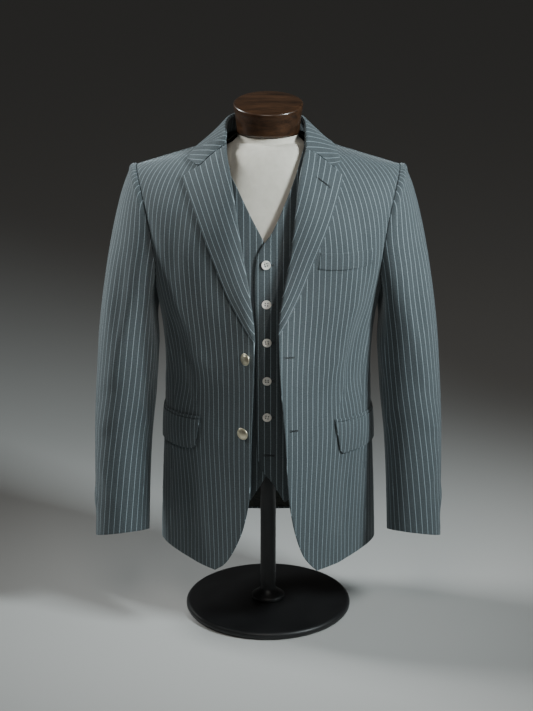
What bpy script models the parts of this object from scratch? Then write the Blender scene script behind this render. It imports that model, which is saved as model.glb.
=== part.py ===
"""A pinstriped suit jacket and waistcoat worn by a limbless dress form on a short stand.

Metres, +Z up, the wearer faces -Y, and the wearer's left is +X. The origin is the middle of the
stand's underside. Every cloth piece is a sheet laid on a torso shape and thickened into a wall.
"""

import math

import bmesh
import bpy
import numpy as np

# Driving sizes: a size 40 regular jacket, its cloth, and the clearances that keep neighbouring pieces apart.
SHOULDER_HALF = 0.2237
NECK_HALF = 0.078
FLARE_WIDTH = 0.046
CLOTH = 0.0022
VEST_CLOTH = 0.0017
VEST_BACK_CLOTH = 0.0014
LINING_CLOTH = 0.0010
LAPEL_CLOTH = 0.0020
COLLAR_CLOTH = 0.0020
FLAP_CLOTH = 0.0020
JET_CLOTH = 0.0012
WELT_CLOTH = 0.0018
CLEAR = 0.0004
ON_TOP = 0.0009
SEAM_GAP = 0.0003
GORGE_GAP = 0.0014
COLLAR_END_GAP = 0.0036
LINING_RISE = 0.0040
FOLD_INSIDE = 0.0015

# The dress form and its stand. The neck block's rings are (height, radius, lean in degrees); the pole's and the
# base's are (height, radius), and the form's closed underside is (depth, share of the width).
FORM_BOTTOM = 0.335
FORM_NECK_HALF = 0.060
FORM_NECK_TOP = 0.876
FORM_COLUMNS = (0.024, 0.043, 0.0555, FORM_NECK_HALF, 0.072, 0.090, 0.112, 0.136, 0.158, 0.175, 0.187)
FORM_UNDERSIDE = ((0.006, 0.985), (0.011, 0.95), (0.014, 0.90))
FORM_NECK_RINGS = ((0.8680, 0.0518), (FORM_NECK_TOP, 0.0516))
NECK_BLOCK_Y = -0.001
NECK_BLOCK_RINGS = (
    (0.8765, 0.0530, 0),
    (0.8980, 0.0542, 4),
    (0.9070, 0.0550, 7),
    (0.9095, 0.0578, 8),
    (0.9130, 0.0593, 9),
    (0.9180, 0.0597, 10),
    (0.9230, 0.0590, 10),
    (0.9265, 0.0565, 10),
    (0.9280, 0.0525, 10),
)
BASE_RADIUS = 0.150
BASE_THICKNESS = 0.014
BASE_RINGS = (
    (0.0, BASE_RADIUS - 0.003),
    (0.003, BASE_RADIUS),
    (BASE_THICKNESS - 0.004, BASE_RADIUS),
    (BASE_THICKNESS - 0.001, BASE_RADIUS - 0.003),
    (BASE_THICKNESS, BASE_RADIUS - 0.008),
)
POLE_RADIUS = 0.014
POLE_FLANGE = 0.030
POLE_CAP = 0.024
POLE_TOP = FORM_BOTTOM - FORM_UNDERSIDE[-1][0] - CLEAR
POLE_RINGS = (
    (BASE_THICKNESS + CLEAR, POLE_FLANGE),
    (0.022, POLE_FLANGE),
    (0.030, 0.020),
    (0.034, POLE_RADIUS),
    (POLE_TOP - 0.010, POLE_RADIUS),
    (POLE_TOP - 0.010, POLE_CAP),
    (POLE_TOP, POLE_CAP),
)

# Places on the jacket for the wearer's left (1) and right (-1), as (distance from the middle, height).
FRONT_EDGE = {
    1: (
        (0.0692, 0.1506), (0.0596, 0.1691), (0.0445, 0.2209), (0.0355, 0.2778), (0.0287, 0.3853), (0.0198, 0.4913),
        (0.0169, 0.5672),
    ),
    -1: (
        (0.0763, 0.1449), (0.0636, 0.1678), (0.0436, 0.2211), (0.0326, 0.2784), (0.0287, 0.3853), (0.0248, 0.4905),
        (0.0229, 0.5535),
    ),
}
HEM_START = {1: (0.0849, 0.1286), -1: (0.0931, 0.1269)}
ROLL = {
    1: (
        (0.0169, 0.5672), (0.0260, 0.6278), (0.0387, 0.6960), (0.0487, 0.7784), (0.0545, 0.8226), (0.0642, 0.8575),
    ),
    -1: (
        (0.0229, 0.5535), (0.0330, 0.6275), (0.0447, 0.6960), (0.0577, 0.7808), (0.0645, 0.8230), (0.0735, 0.8600),
    ),
}
LAPEL_EDGE = {
    1: ((0.0194, 0.5670), (0.0508, 0.6269), (0.0785, 0.6952), (0.1016, 0.7518), (0.1240, 0.8176)),
    -1: ((0.0254, 0.5532), (0.0668, 0.6259), (0.0936, 0.6943), (0.1243, 0.7742), (0.1430, 0.8152)),
}
GORGE = {
    1: ((0.0642, 0.8575), (0.0850, 0.8440), (0.1060, 0.8295)),
    -1: ((0.0735, 0.8600), (0.0937, 0.8444), (0.1116, 0.8307)),
}
COLLAR_CORNER = {1: (0.1214, 0.8345), -1: (0.1358, 0.8363)}

# The collar lies wider on the wearer's right. Its fold is (x, y, height, share of the widening), and its outer edge
# (x, height, front -1 or back 1, lift, share of the widening).
COLLAR_WIDENING = {1: 0.000, -1: 0.009}
COLLAR_FOLD = (
    (0.0000, 0.0700, 0.9030, 0.0),
    (0.0400, 0.0580, 0.9030, 0.5),
    (0.0590, 0.0260, 0.9005, 1.0),
    (0.0640, -0.0080, 0.8930, 1.0),
    (0.0635, -0.0420, 0.8785, 0.9),
)
COLLAR_EDGE = (
    (0.0000, 0.8605, 1, 0.0042, 0.0),
    (0.0340, 0.8600, 1, 0.0042, 0.0),
    (0.0680, 0.8570, 1, 0.0042, 0.0),
    (0.0920, 0.8540, 1, 0.0044, 0.5),
    (0.1060, 0.9000, -1, 0.0046, 1.0),
)
COLLAR_INSET = COLLAR_CLOTH + 0.0024
COLLAR_LIFT = {"fold": 0.0048, "neck": -0.0030, "gorge": 0.0042, "corner": 0.0036}
ROLL_INSET = 0.0035

# Seams that run down the body, as (degrees round from the front, height).
SIDE_SEAM = ((64.0, 0.1320), (63.5, 0.2640), (62.5, 0.3930), (65.5, 0.5170))
BACK_SEAM = ((116, 0.1370), (114, 0.280), (112, 0.400), (113, 0.520))
HEM_FRONT = ((34.7, 0.1264), (43.6, 0.1284), (55.0, 0.1305), (64.0, 0.1320))
HEM_SIDE = ((64.0, 0.1320), (90, 0.1365), (116, 0.1370))
HEM_BACK = ((116, 0.1370), (150, 0.1350), (180, 0.1335))
BACK_CENTRE = (0.1335, 0.4000, 0.6500, 0.8690)

# The armhole seam: its lowest stretch in degrees and height, then (distance from the middle, height).
UNDERARM = {-1: ((90, 0.6050), (75, 0.6270)), 1: ((90, 0.6050), (114, 0.6330))}
ARMHOLE_FRONT = (
    (0.1895, 0.655), (0.1925, 0.690), (0.1980, 0.724), (0.2050, 0.756), (0.2130, 0.786), (0.2185, 0.8035),
    (0.2222, 0.8150),
)
ARMHOLE_BACK = (
    (0.1940, 0.670), (0.1985, 0.705), (0.2045, 0.745), (0.2120, 0.780), (0.2180, 0.802), (0.2220, 0.8150),
)

# The waistcoat: its neckline, front edge and point, as (x, height); the wearer's left front lies on top.
VEST_LIFT = 0.0060
VEST_OVERLAP = 0.0032
VEST_FRONT = {
    1: (
        (0.0270, 0.2517), (0.0040, 0.2920), (-0.0176, 0.3340), (-0.0195, 0.4500), (-0.0198, 0.5491),
        (-0.0203, 0.6858),
    ),
    -1: (
        (-0.0300, 0.2535), (-0.0060, 0.2960), (0.0125, 0.3400), (0.0130, 0.4500), (0.0130, 0.5491),
        (0.0130, 0.6650),
    ),
}
VEST_NECKLINE = {
    1: ((0.0000, 0.7250), (0.0208, 0.7649), (0.0400, 0.8130), (0.0557, 0.8585)),
    -1: ((-0.0071, 0.7178), (-0.0290, 0.7600), (-0.0480, 0.7990), (-0.0646, 0.8349)),
}
VEST_HEM = ((30, 0.2850), (60, 0.3080), (92, 0.3250))
VEST_SIDE = ((92, 0.3250), (92, 0.4500), (92, 0.5900))
VEST_ARMHOLE = ((0.1500, 0.6300), (0.1360, 0.7000), (0.1380, 0.7700))
VEST_SHOULDER = (0.0680, 0.1500)
VEST_BACK_ARMHOLE = ((0.1480, 0.6400), (0.1420, 0.7200), (0.1440, 0.7800))
VEST_BACK_HEM = ((92, 0.3250), (130, 0.3200), (180, 0.3150))
VEST_BACK_CENTRE = (0.3150, 0.6000, 0.8640)
VEST_BACK_LIFT = VEST_LIFT + 0.0010
VEST_LAP_FROM, VEST_LAP_TO = 26, 8

# Pockets and buttons: the flaps' corners as (degrees round from the front, height), the rest as (x, height) on the
# front. A jacket button also has how far it hangs turned out and tipped, in degrees.
FLAP = {
    1: ((34.7, 0.3944), (98, 0.3850), (97, 0.3300), (38.3, 0.3330)),
    -1: ((35.7, 0.3991), (98, 0.3880), (97, 0.3330), (39.3, 0.3409)),
}
FLAP_SHOULDER = (-2.2, 0.010)
JET_HEIGHT = 0.0050
JET_ABOVE_FLAP = 0.0006
WELT = ((0.0830, 0.6748), (0.1717, 0.6717), (0.1755, 0.7017), (0.0859, 0.7030))
JACKET_BUTTONS = ((-0.0355, 0.5230, 42, 2), (-0.0410, 0.3916, 33, -4))
VEST_BUTTONS = ((-0.0038, 0.6808), (-0.0030, 0.6135), (-0.0022, 0.5455), (-0.0022, 0.4756), (-0.0021, 0.4090))

# Button profiles as (distance out, radius): domed on a shank, and flat with a dished middle.
SHANK = 0.0012
DOMED = (
    (0.0000, 0.0020), (0.0024, 0.0020), (0.0027, 0.0088), (0.0033, 0.0102), (0.0041, 0.0105), (0.0051, 0.0094),
    (0.0059, 0.0066), (0.0063, 0.0030),
)
FLAT = (
    (0.0005, 0.0050), (0.0010, 0.0070), (0.0020, 0.0078), (0.0027, 0.0076), (0.0029, 0.0070), (0.0023, 0.0058),
)

# The sleeve: degrees round it where its cloth is divided, its two seams among them, its widest ring and its cuff.
TURNS = (0, 20, 40, 60, 80, 100, 122, 142, 160, 180)
SLEEVE_BACK_SEAM, SLEEVE_FRONT_SEAM, SIDE_SEAM_TOP = TURNS.index(122), TURNS.index(142), TURNS.index(142)
BICEPS = 0.505
CUFF = 0.165

# How many rows and columns of points the pieces have.
SEAM_ROWS, ROLL_ROWS, FRONT_COLUMNS, BACK_COLUMNS = 11, 10, 8, 7
LAPEL_COLUMNS, COLLAR_ROWS, COLLAR_COLUMNS = 7, 9, 6
SLEEVE_HEAD_ROWS, SLEEVE_HANG_ROWS = 8, (1.33, 1.66, 2.0)
VEST_ROWS, VEST_COLUMNS, VEST_BACK_ROWS, VEST_BACK_COLUMNS = 16, 9, 12, 7
FLAP_ROWS, FLAP_COLUMNS, WELT_ROWS, WELT_COLUMNS = 5, 10, 3, 7
FORM_ROWS = 16
ROUND_HEIGHT = 0.85


def smooth(keys, values, at):
    """A smooth curve through (keys, values), read at one place or many."""
    keys, values = np.asarray(keys, float), np.asarray(values, float)
    at = np.clip(np.asarray(at, float), keys[0], keys[-1])
    steps = np.diff(keys)
    rises = np.diff(values) / steps
    slopes = np.concatenate([[rises[0]], (rises[1:] + rises[:-1]) / 2, [rises[-1]]])
    flat = rises[1:] * rises[:-1] <= 0
    slopes[1:-1][flat] = 0
    i = np.clip(np.searchsorted(keys, at, side="right") - 1, 0, len(steps) - 1)
    h = steps[i]
    t = (at - keys[i]) / h
    return (
        (2 * t**3 - 3 * t**2 + 1) * values[i]
        + (t**3 - 2 * t**2 + t) * h * slopes[i]
        + (3 * t**2 - 2 * t**3) * values[i + 1]
        + (t**3 - t**2) * h * slopes[i + 1]
    )


class Table:
    """Rows of sizes under named columns, read smoothly at any value of the first column."""

    def __init__(self, names, *rows):
        self.columns = dict(zip(names.split(), np.array(rows, float).T))
        self.keys = next(iter(self.columns.values()))

    def read(self, name, at):
        return smooth(self.keys, self.columns[name], at)


class Torso:
    """A rounded torso shape whose front and back meet in a ridge along the shoulders and in a neck hole."""

    roundness = 2.4

    def __init__(self, rings, swell, ridge, neck_half, neck_depth, neck_curve, drop):
        self.rings, self.swell, self.ridge = rings, swell, ridge
        self.neck_half, self.neck_depth = neck_half, neck_depth
        self.neck_curve = neck_curve
        self.drop = drop

    def ridge_height(self, x):
        return self.ridge.read("height", np.abs(x))

    def across(self, x, height, side):
        """The depth y at that x and height, on the front (side -1) or the back (side 1)."""
        share = np.clip(np.abs(x) / self.rings.read("half_width", height), 0, 1)
        if side < 0:
            curve = self.swell.read("roundness", height)
            flare = self.swell.read("flare", height) * np.exp(-((x / FLARE_WIDTH) ** 2))
            full = -self.rings.read("front", height) * (1 - share**curve) ** (1 / curve) - flare
        else:
            full = self.rings.read("back", height) * (1 - share**self.roundness) ** (1 / self.roundness)
        curve = self.neck_curve[side]
        hole = np.clip(1 - np.abs(np.asarray(x) / self.neck_half) ** curve, 0, 1) ** (1 / curve)
        top = self.ridge.read("depth", np.abs(x)) + side * self.neck_depth[side] * hole
        down = np.clip((self.ridge_height(x) - height) / self.drop[side], 0, 1)
        return top + (full - top) * np.sqrt(1 - (1 - down) ** 2)

    def place(self, angle, level):
        """Points for angles round the body (0 front, pi/2 the wearer's left, pi back) and levels (the ridge is 1)."""
        angle, level = np.broadcast_arrays(np.asarray(angle, float), np.asarray(level, float))
        swing = np.sign(np.sin(angle)) * np.abs(np.sin(angle)) ** (2 / self.roundness)
        height = level * ROUND_HEIGHT
        for _ in range(8):
            x = swing * self.rings.read("half_width", height)
            height = level * self.ridge_height(x)
        front = self.across(x, height, -1)
        back = self.across(x, height, 1)
        return np.stack([x, np.where(np.cos(angle) >= 0, front, back), height], -1)

    def locate(self, x, height, side=-1):
        """The (angle, level) of a point seen at that x and height, on the front or the back."""
        share = np.clip(np.abs(x) / self.rings.read("half_width", height), 0, 1)
        angle = np.arcsin(share ** (self.roundness / 2)) * np.where(np.asarray(x) < 0, -1, 1)
        if side > 0:
            angle = np.where(np.asarray(x) < 0, -math.pi, math.pi) - angle
        return np.stack([angle, height / self.ridge_height(x)], -1)


JACKET = Torso(
    Table(
        "height half_width front back",
        (0.100, 0.1940, 0.196, 0.130),
        (0.200, 0.1912, 0.194, 0.135),
        (0.300, 0.1868, 0.178, 0.135),
        (0.350, 0.1840, 0.163, 0.127),
        (0.410, 0.1812, 0.148, 0.115),
        (0.470, 0.1795, 0.142, 0.110),
        (0.540, 0.1835, 0.142, 0.116),
        (0.600, 0.1925, 0.144, 0.126),
        (0.660, 0.2060, 0.145, 0.134),
        (0.720, 0.2210, 0.144, 0.138),
        (0.780, 0.2360, 0.143, 0.138),
        (0.840, 0.2490, 0.142, 0.134),
        (0.900, 0.2600, 0.140, 0.128),
    ),
    Table(
        "height roundness flare",
        (0.100, 1.22, 0.000),
        (0.200, 1.25, 0.000),
        (0.300, 1.38, 0.004),
        (0.380, 1.68, 0.016),
        (0.480, 1.90, 0.024),
        (0.550, 2.15, 0.020),
        (0.620, 2.45, 0.009),
        (0.700, 2.65, 0.000),
        (0.900, 2.65, 0.000),
    ),
    Table(
        "x height depth",
        (0.000, 0.869, 0.010),
        (0.060, 0.869, 0.010),
        (0.078, 0.866, 0.010),
        (0.105, 0.8555, 0.010),
        (0.150, 0.8415, 0.010),
        (0.2237, 0.8200, 0.010),
        (0.270, 0.8060, 0.010),
    ),
    neck_half=NECK_HALF,
    neck_depth={-1: 0.080, 1: 0.066},
    neck_curve={-1: 1.3, 1: 2.0},
    drop={-1: 0.16, 1: 0.13},
)

FORM = Torso(
    Table(
        "height half_width front back",
        (0.240, 0.146, 0.112, 0.120),
        (0.350, 0.150, 0.113, 0.112),
        (0.410, 0.150, 0.113, 0.100),
        (0.470, 0.150, 0.115, 0.094),
        (0.540, 0.155, 0.120, 0.098),
        (0.600, 0.164, 0.125, 0.107),
        (0.660, 0.175, 0.127, 0.113),
        (0.720, 0.181, 0.125, 0.116),
        (0.780, 0.187, 0.121, 0.114),
        (0.840, 0.192, 0.117, 0.108),
        (0.900, 0.195, 0.115, 0.105),
    ),
    Table("height roundness flare", (0.240, 2.4, 0.0), (0.900, 2.4, 0.0)),
    Table(
        "x height depth",
        (0.000, 0.864, 0.004),
        (0.050, 0.863, 0.004),
        (0.062, 0.858, 0.004),
        (0.080, 0.849, 0.005),
        (0.120, 0.8345, 0.008),
        (0.185, 0.8120, 0.010),
        (0.250, 0.7900, 0.010),
    ),
    neck_half=FORM_NECK_HALF,
    neck_depth={-1: 0.058, 1: 0.052},
    neck_curve={-1: 2.0, 1: 2.0},
    drop={-1: 0.15, 1: 0.12},
)

SLEEVE = Table(
    "height centre_x centre_y half_x half_y slant_out slant_front",
    (0.165, 0.2597, -0.0480, 0.0480, 0.0430, -0.0060, 0.0150),
    (0.260, 0.2580, -0.0330, 0.0490, 0.0490, -0.0050, 0.0110),
    (0.340, 0.2556, -0.0200, 0.0510, 0.0550, -0.0030, 0.0050),
    (0.430, 0.2490, -0.0120, 0.0535, 0.0620, 0.0000, 0.0000),
    (0.505, 0.2435, -0.0090, 0.0535, 0.0680, 0.0000, 0.0000),
)
SLEEVE_HEAD = Table(
    "turn out forward up fall",
    (0, 0.080, 0.000, 0.018, 0.330),
    (45, 0.076, 0.020, -0.016, 0.310),
    (90, 0.060, 0.042, -0.070, 0.240),
    (135, 0.036, 0.026, -0.085, 0.140),
    (180, 0.014, 0.000, -0.080, 0.100),
)


def clear_scene():
    for obj in list(bpy.data.objects):
        bpy.data.objects.remove(obj)


def material(name, colour, roughness, metallic=0.0):
    made = bpy.data.materials.new(name)
    made.use_nodes = True
    shader = made.node_tree.nodes["Principled BSDF"]
    shader.inputs["Base Color"].default_value = (*colour, 1.0)
    shader.inputs["Roughness"].default_value = roughness
    shader.inputs["Metallic"].default_value = metallic
    return made


def show(name, mesh, finish):
    obj = bpy.data.objects.new(name, mesh)
    obj.data.materials.append(finish)
    bpy.context.scene.collection.objects.link(obj)
    mesh.shade_smooth()
    mesh.set_sharp_from_angle(angle=math.radians(40))
    return obj


def unit(vectors):
    return vectors / np.linalg.norm(vectors, axis=-1, keepdims=True)


def through(points, count, spread=1.0):
    """Points along a smooth curve through the given ones, evenly spaced, or closer together at its end."""
    points = np.asarray(points, float)
    at = np.concatenate([[0], np.cumsum(np.linalg.norm(np.diff(points, axis=0), axis=1))])
    fine = np.linspace(0, at[-1], 300)
    line = np.stack([smooth(at, points[:, k], fine) for k in range(points.shape[1])], -1)
    run = np.concatenate([[0], np.cumsum(np.linalg.norm(np.diff(line, axis=0), axis=1))])
    wanted = run[-1] * (1 - (1 - np.linspace(0, 1, count)) ** spread)
    return np.stack([np.interp(wanted, run, line[:, k]) for k in range(points.shape[1])], -1)


def along(torso, places, count, spread=1.0):
    """(angle, level) points, evenly spaced on the torso, along the smooth line through the given places."""
    line = through(places, 400, 2.0)
    points = torso.place(*line.T)
    run = np.concatenate([[0], np.cumsum(np.linalg.norm(np.diff(points, axis=0), axis=1))])
    wanted = run[-1] * (1 - (1 - np.linspace(0, 1, count)) ** spread)
    return np.stack([np.interp(wanted, run, line[:, k]) for k in range(2)], -1)


def patch(bottom, top, left, right):
    """The grid of points spanned between four edges whose ends meet."""
    s = np.linspace(0, 1, len(bottom))[None, :, None]
    t = np.linspace(0, 1, len(left))[:, None, None]
    bottom, top, left, right = bottom[None], top[None], left[:, None], right[:, None]
    low = (1 - s) * bottom[:, :1] + s * bottom[:, -1:]
    high = (1 - s) * top[:, :1] + s * top[:, -1:]
    return (1 - t) * (bottom - low) + t * (top - high) + (1 - s) * left + s * right


def outward(torso, angle, level):
    """The direction straight out of a torso, also where its front and back meet in the ridge."""
    step = 0.004

    def over(angle, level):
        beyond = level > 1
        flipped = np.where(beyond, np.sign(angle) * math.pi - angle, angle)
        return torso.place(flipped, np.where(beyond, 2 - level, level))

    around = over(angle + step, level) - over(angle - step, level)
    up = over(angle, level + step) - over(angle, level - step)
    return unit(np.cross(around, up))


def drape(torso, grid, lift=0.0):
    """Points and outward directions for a grid of (angle, level), moved out from the torso by lift."""
    out = outward(torso, grid[..., 0], grid[..., 1])
    return torso.place(grid[..., 0], grid[..., 1]) + out * np.asarray(lift)[..., None], out


def tuck(points, gap):
    """Pull the border of a grid of points in by gap."""
    points = points.copy()
    for _ in range(2):
        points = points.transpose(1, 0, 2)
        points[0] += unit(points[1] - points[0]) * gap
        points[-1] += unit(points[-2] - points[-1]) * gap
    return points


def wall(name, outer, inner, finish):
    """A closed wall between two grids of points; seen from outside, columns run right and rows run up."""
    rows, columns = outer.shape[:2]
    mesh = bpy.data.meshes.new(name)
    body = bmesh.new()
    front = [[body.verts.new(point) for point in row] for row in outer]
    back = [[body.verts.new(point) for point in row] for row in inner]
    for r in range(rows - 1):
        for c in range(columns - 1):
            body.faces.new((front[r][c], front[r][c + 1], front[r + 1][c + 1], front[r + 1][c]))
            body.faces.new((back[r][c], back[r + 1][c], back[r + 1][c + 1], back[r][c + 1]))
    border = [(0, c) for c in range(columns)] + [(r, columns - 1) for r in range(1, rows)]
    border += [(rows - 1, c) for c in range(columns - 2, -1, -1)] + [(r, 0) for r in range(rows - 2, 0, -1)]
    for (r0, c0), (r1, c1) in zip(border, border[1:] + border[:1]):
        body.faces.new((front[r1][c1], front[r0][c0], back[r0][c0], back[r1][c1]))
    bmesh.ops.triangulate(body, faces=body.faces)
    bmesh.ops.recalc_face_normals(body, faces=body.faces)
    body.to_mesh(mesh)
    body.free()
    return show(name, mesh, finish)


def piece(name, torso, grid, finish, lift=0.0, thickness=CLOTH, gap=SEAM_GAP / 2):
    """A cut piece that lies on a torso: a grid of (angle, level) thickened inwards."""
    points, out = drape(torso, grid, lift)
    points = tuck(points, gap)
    return wall(name, points, points - out * thickness, finish)


def flip(grid):
    """The same grid on the wearer's other side, still running left to right."""
    grid = grid[:, ::-1].copy()
    grid[..., 0] *= -1
    return grid


def sided(grid, side):
    return grid if side > 0 else flip(grid)


def ring_point(degrees, height, torso):
    """(angle, level) of a place given by its angle round the body and its height."""
    angle = math.radians(degrees)
    level = height / ROUND_HEIGHT
    for _ in range(8):
        level = level * height / torso.place(angle, level)[2]
    return angle, level


def spots(torso, side, *places):
    """(angle, level) of places given by (x, height) on the front or the back."""
    return [tuple(torso.locate(x, height, side)) for x, height in places]


def seam(torso, *places):
    return [ring_point(degrees, height, torso) for degrees, height in places]


def shoulder(torso, side, start, end, count):
    """The (angle, level) points of a shoulder seam between two distances from the middle."""
    x = np.linspace(start, end, count)
    points = torso.locate(x, torso.ridge_height(x) * (1 - 1e-9), side)
    points[:, 1] = 1
    return points


def armhole(side):
    """(angle, level) every degree round half of the armhole seam, from the shoulder down to the underarm."""
    places = ARMHOLE_FRONT if side < 0 else ARMHOLE_BACK
    line = seam(JACKET, *UNDERARM[side]) + spots(JACKET, side, *places)
    line += shoulder(JACKET, side, SHOULDER_HALF, SHOULDER_HALF, 1).tolist()
    return along(JACKET, line, 181)[::-1]


ARMHOLE = {side: armhole(side) for side in (-1, 1)}


def armhole_point(turn):
    """Points on the armhole seam: turn is 0 at the shoulder, 180 at the underarm, negative behind."""
    halves = {side: JACKET.place(*ARMHOLE[side].T) for side in ARMHOLE}
    steps = np.arange(181)
    read = {s: np.stack([np.interp(np.abs(turn), steps, halves[s][:, k]) for k in range(3)], -1) for s in halves}
    return np.where((turn >= 0)[..., None], read[-1], read[1])


def sleeve_ring(turn, height):
    """The hanging part of the sleeve: turn is 0 at the outside, 90 at the front, 180 against the body."""
    a = np.radians(turn)
    size = {name: SLEEVE.read(name, height) for name in SLEEVE.columns}
    out, front = np.cos(a), np.sin(a)
    x = size["centre_x"] + size["half_x"] * out
    y = size["centre_y"] - size["half_y"] * front
    return np.stack([x, y, height + size["slant_out"] * out + size["slant_front"] * front], -1)


def sleeve(turn, down):
    """The sleeve's surface: down is 0 at the armhole, 1 at the widest ring of the arm, 2 at the cuff."""
    turn, down = np.broadcast_arrays((np.asarray(turn, float) + 180) % 360 - 180, np.asarray(down, float))
    t = np.clip(down, 0, 1)[..., None]
    wide = np.abs(turn)
    out, forward, up = (SLEEVE_HEAD.read(name, wide) for name in ("out", "forward", "up"))
    leave = np.stack([out, -np.sign(turn) * forward, up], -1)
    below = sleeve_ring(turn, BICEPS - 0.02) - sleeve_ring(turn, BICEPS)
    arrive = unit(below) * SLEEVE_HEAD.read("fall", wide)[..., None]
    start = armhole_point(turn) + np.array([0.0006, 0, 0])
    head = (
        (2 * t**3 - 3 * t**2 + 1) * start
        + (t**3 - 2 * t**2 + t) * leave
        + (3 * t**2 - 2 * t**3) * sleeve_ring(turn, np.full(turn.shape, BICEPS))
        + (t**3 - t**2) * arrive
    )
    hang = sleeve_ring(turn, BICEPS - (BICEPS - CUFF) * np.clip(down - 1, 0, 1))
    return np.where((down <= 1)[..., None], head, hang)


def sleeve_piece(name, side, turns, downs, finish):
    turn, down = np.meshgrid(turns, downs[::-1])
    step = 0.01
    around = sleeve(turn + 1, down) - sleeve(turn - 1, down)
    along = sleeve(turn, np.clip(down - step, 0.0, 2)) - sleeve(turn, np.clip(down + step, 0, 2))
    out = unit(np.cross(along, around))
    points = tuck(sleeve(turn, down), SEAM_GAP / 2)
    inner = points - out * CLOTH
    points, inner = points[:, ::-1], inner[:, ::-1]
    if side < 0:
        mirror = np.array([-1, 1, 1])
        points, inner = points[:, ::-1] * mirror, inner[:, ::-1] * mirror
    return wall(name, points, inner, finish)


def lapel(name, side, columns, finish):
    """The lapel: a strip that turns back round the roll line and lies out over the front."""
    roll, edge, gorge = (np.array(points[side]) for points in (ROLL, LAPEL_EDGE, GORGE))
    left = through(roll, ROLL_ROWS)
    right = through(edge, ROLL_ROWS)
    cut = (columns * 2) // 3
    top = np.concatenate([through(gorge, cut), through([gorge[-1], edge[-1]], columns - cut + 1)[1:]])
    grid = patch(through([roll[0], edge[0]], columns), top, left, right)
    grid = sided_front(grid, side)
    points, out = drape(JACKET, grid)
    width = np.linalg.norm(points[:, -1] - points[:, 0], axis=-1)
    snug = np.clip(width / 0.012, 0.35, 1)[:, None]
    across = unit(points[:, 1] - points[:, 0])
    seen, under = [], []
    for turn in (-90, -140, 170, 120):
        for face, radius in ((seen, FOLD_INSIDE + LAPEL_CLOTH), (under, FOLD_INSIDE)):
            a = math.radians(turn)
            shift = -CLEAR + min(0, math.cos(a)) * radius * snug
            height = FOLD_INSIDE * snug + math.sin(a) * radius * snug
            face.append(points[:, 0] + across * shift + out[:, 0] * height)
    share = np.linspace(0, 1, columns)[None, :]
    high = (FOLD_INSIDE * 2) * (1 - share) + 0.0016 * share + 0.0018 * np.sin(math.pi * share)
    low_face = points + out * (high * snug)[..., None]
    top_face = points + out * ((high + LAPEL_CLOTH) * snug)[..., None]
    seen = np.concatenate([np.stack(seen, 1), top_face], 1)
    under = np.concatenate([np.stack(under, 1), low_face], 1)
    for face in (seen, under):
        face[-1] += unit(face[-2] - face[-1]) * GORGE_GAP
    if side < 0:
        seen, under = seen[:, ::-1], under[:, ::-1]
    return wall(name, seen, under, finish)


def sided_front(grid, side):
    """(angle, level) on the jacket's front for a grid of (distance from the middle, height)."""
    return JACKET.locate(grid[..., 0] * side, grid[..., 1], -1)


def on_jacket(x, height, side, lift):
    """A point lying on the jacket's front (side -1) or back (side 1), moved out by lift."""
    spot = JACKET.locate(x, min(height, float(JACKET.ridge_height(x)) * 0.999999), side)
    points, _ = drape(JACKET, spot[None, None], lift)
    return points[0, 0]


def collar_lines(side):
    """The collar's fold, outer edge and neck seam, from the middle of the back to the front, and its notch."""
    (roll_x, roll_z), (corner_x, corner_z) = ROLL[side][-1], COLLAR_CORNER[side]
    roll_x, wider = roll_x - ROLL_INSET, COLLAR_WIDENING[side]
    fold = [((x + wider * share) * side, y, height) for x, y, height, share in COLLAR_FOLD]
    fold.append(on_jacket(roll_x * side, roll_z, -1, COLLAR_LIFT["fold"]))
    edge = [on_jacket((x + wider * share) * side, height, face, lift) for x, height, face, lift, share in COLLAR_EDGE]
    edge.append(on_jacket(corner_x * side, corner_z, -1, COLLAR_LIFT["corner"]))
    neck = shoulder(JACKET, 1, 0.0, NECK_HALF - 0.0005, 6)
    ring = JACKET.place(neck[:, 0], neck[:, 1])
    ring = ring - unit(ring * (1, 1, 0)) * COLLAR_INSET
    front = shoulder(JACKET, -1, NECK_HALF - 0.001, NECK_HALF - 0.001, 1)
    ring = [point * (side, 1, 1) for point in (*ring, JACKET.place(*front[0]) - (COLLAR_INSET, 0, 0))]
    ring.append(on_jacket(roll_x * side, roll_z, -1, COLLAR_LIFT["neck"]))
    gorge = [on_jacket(x * side, z, -1, COLLAR_LIFT["gorge"]) for x, z in GORGE[side][1:]]
    return fold, edge, ring, [fold[-1], *gorge, edge[-1]]


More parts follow.
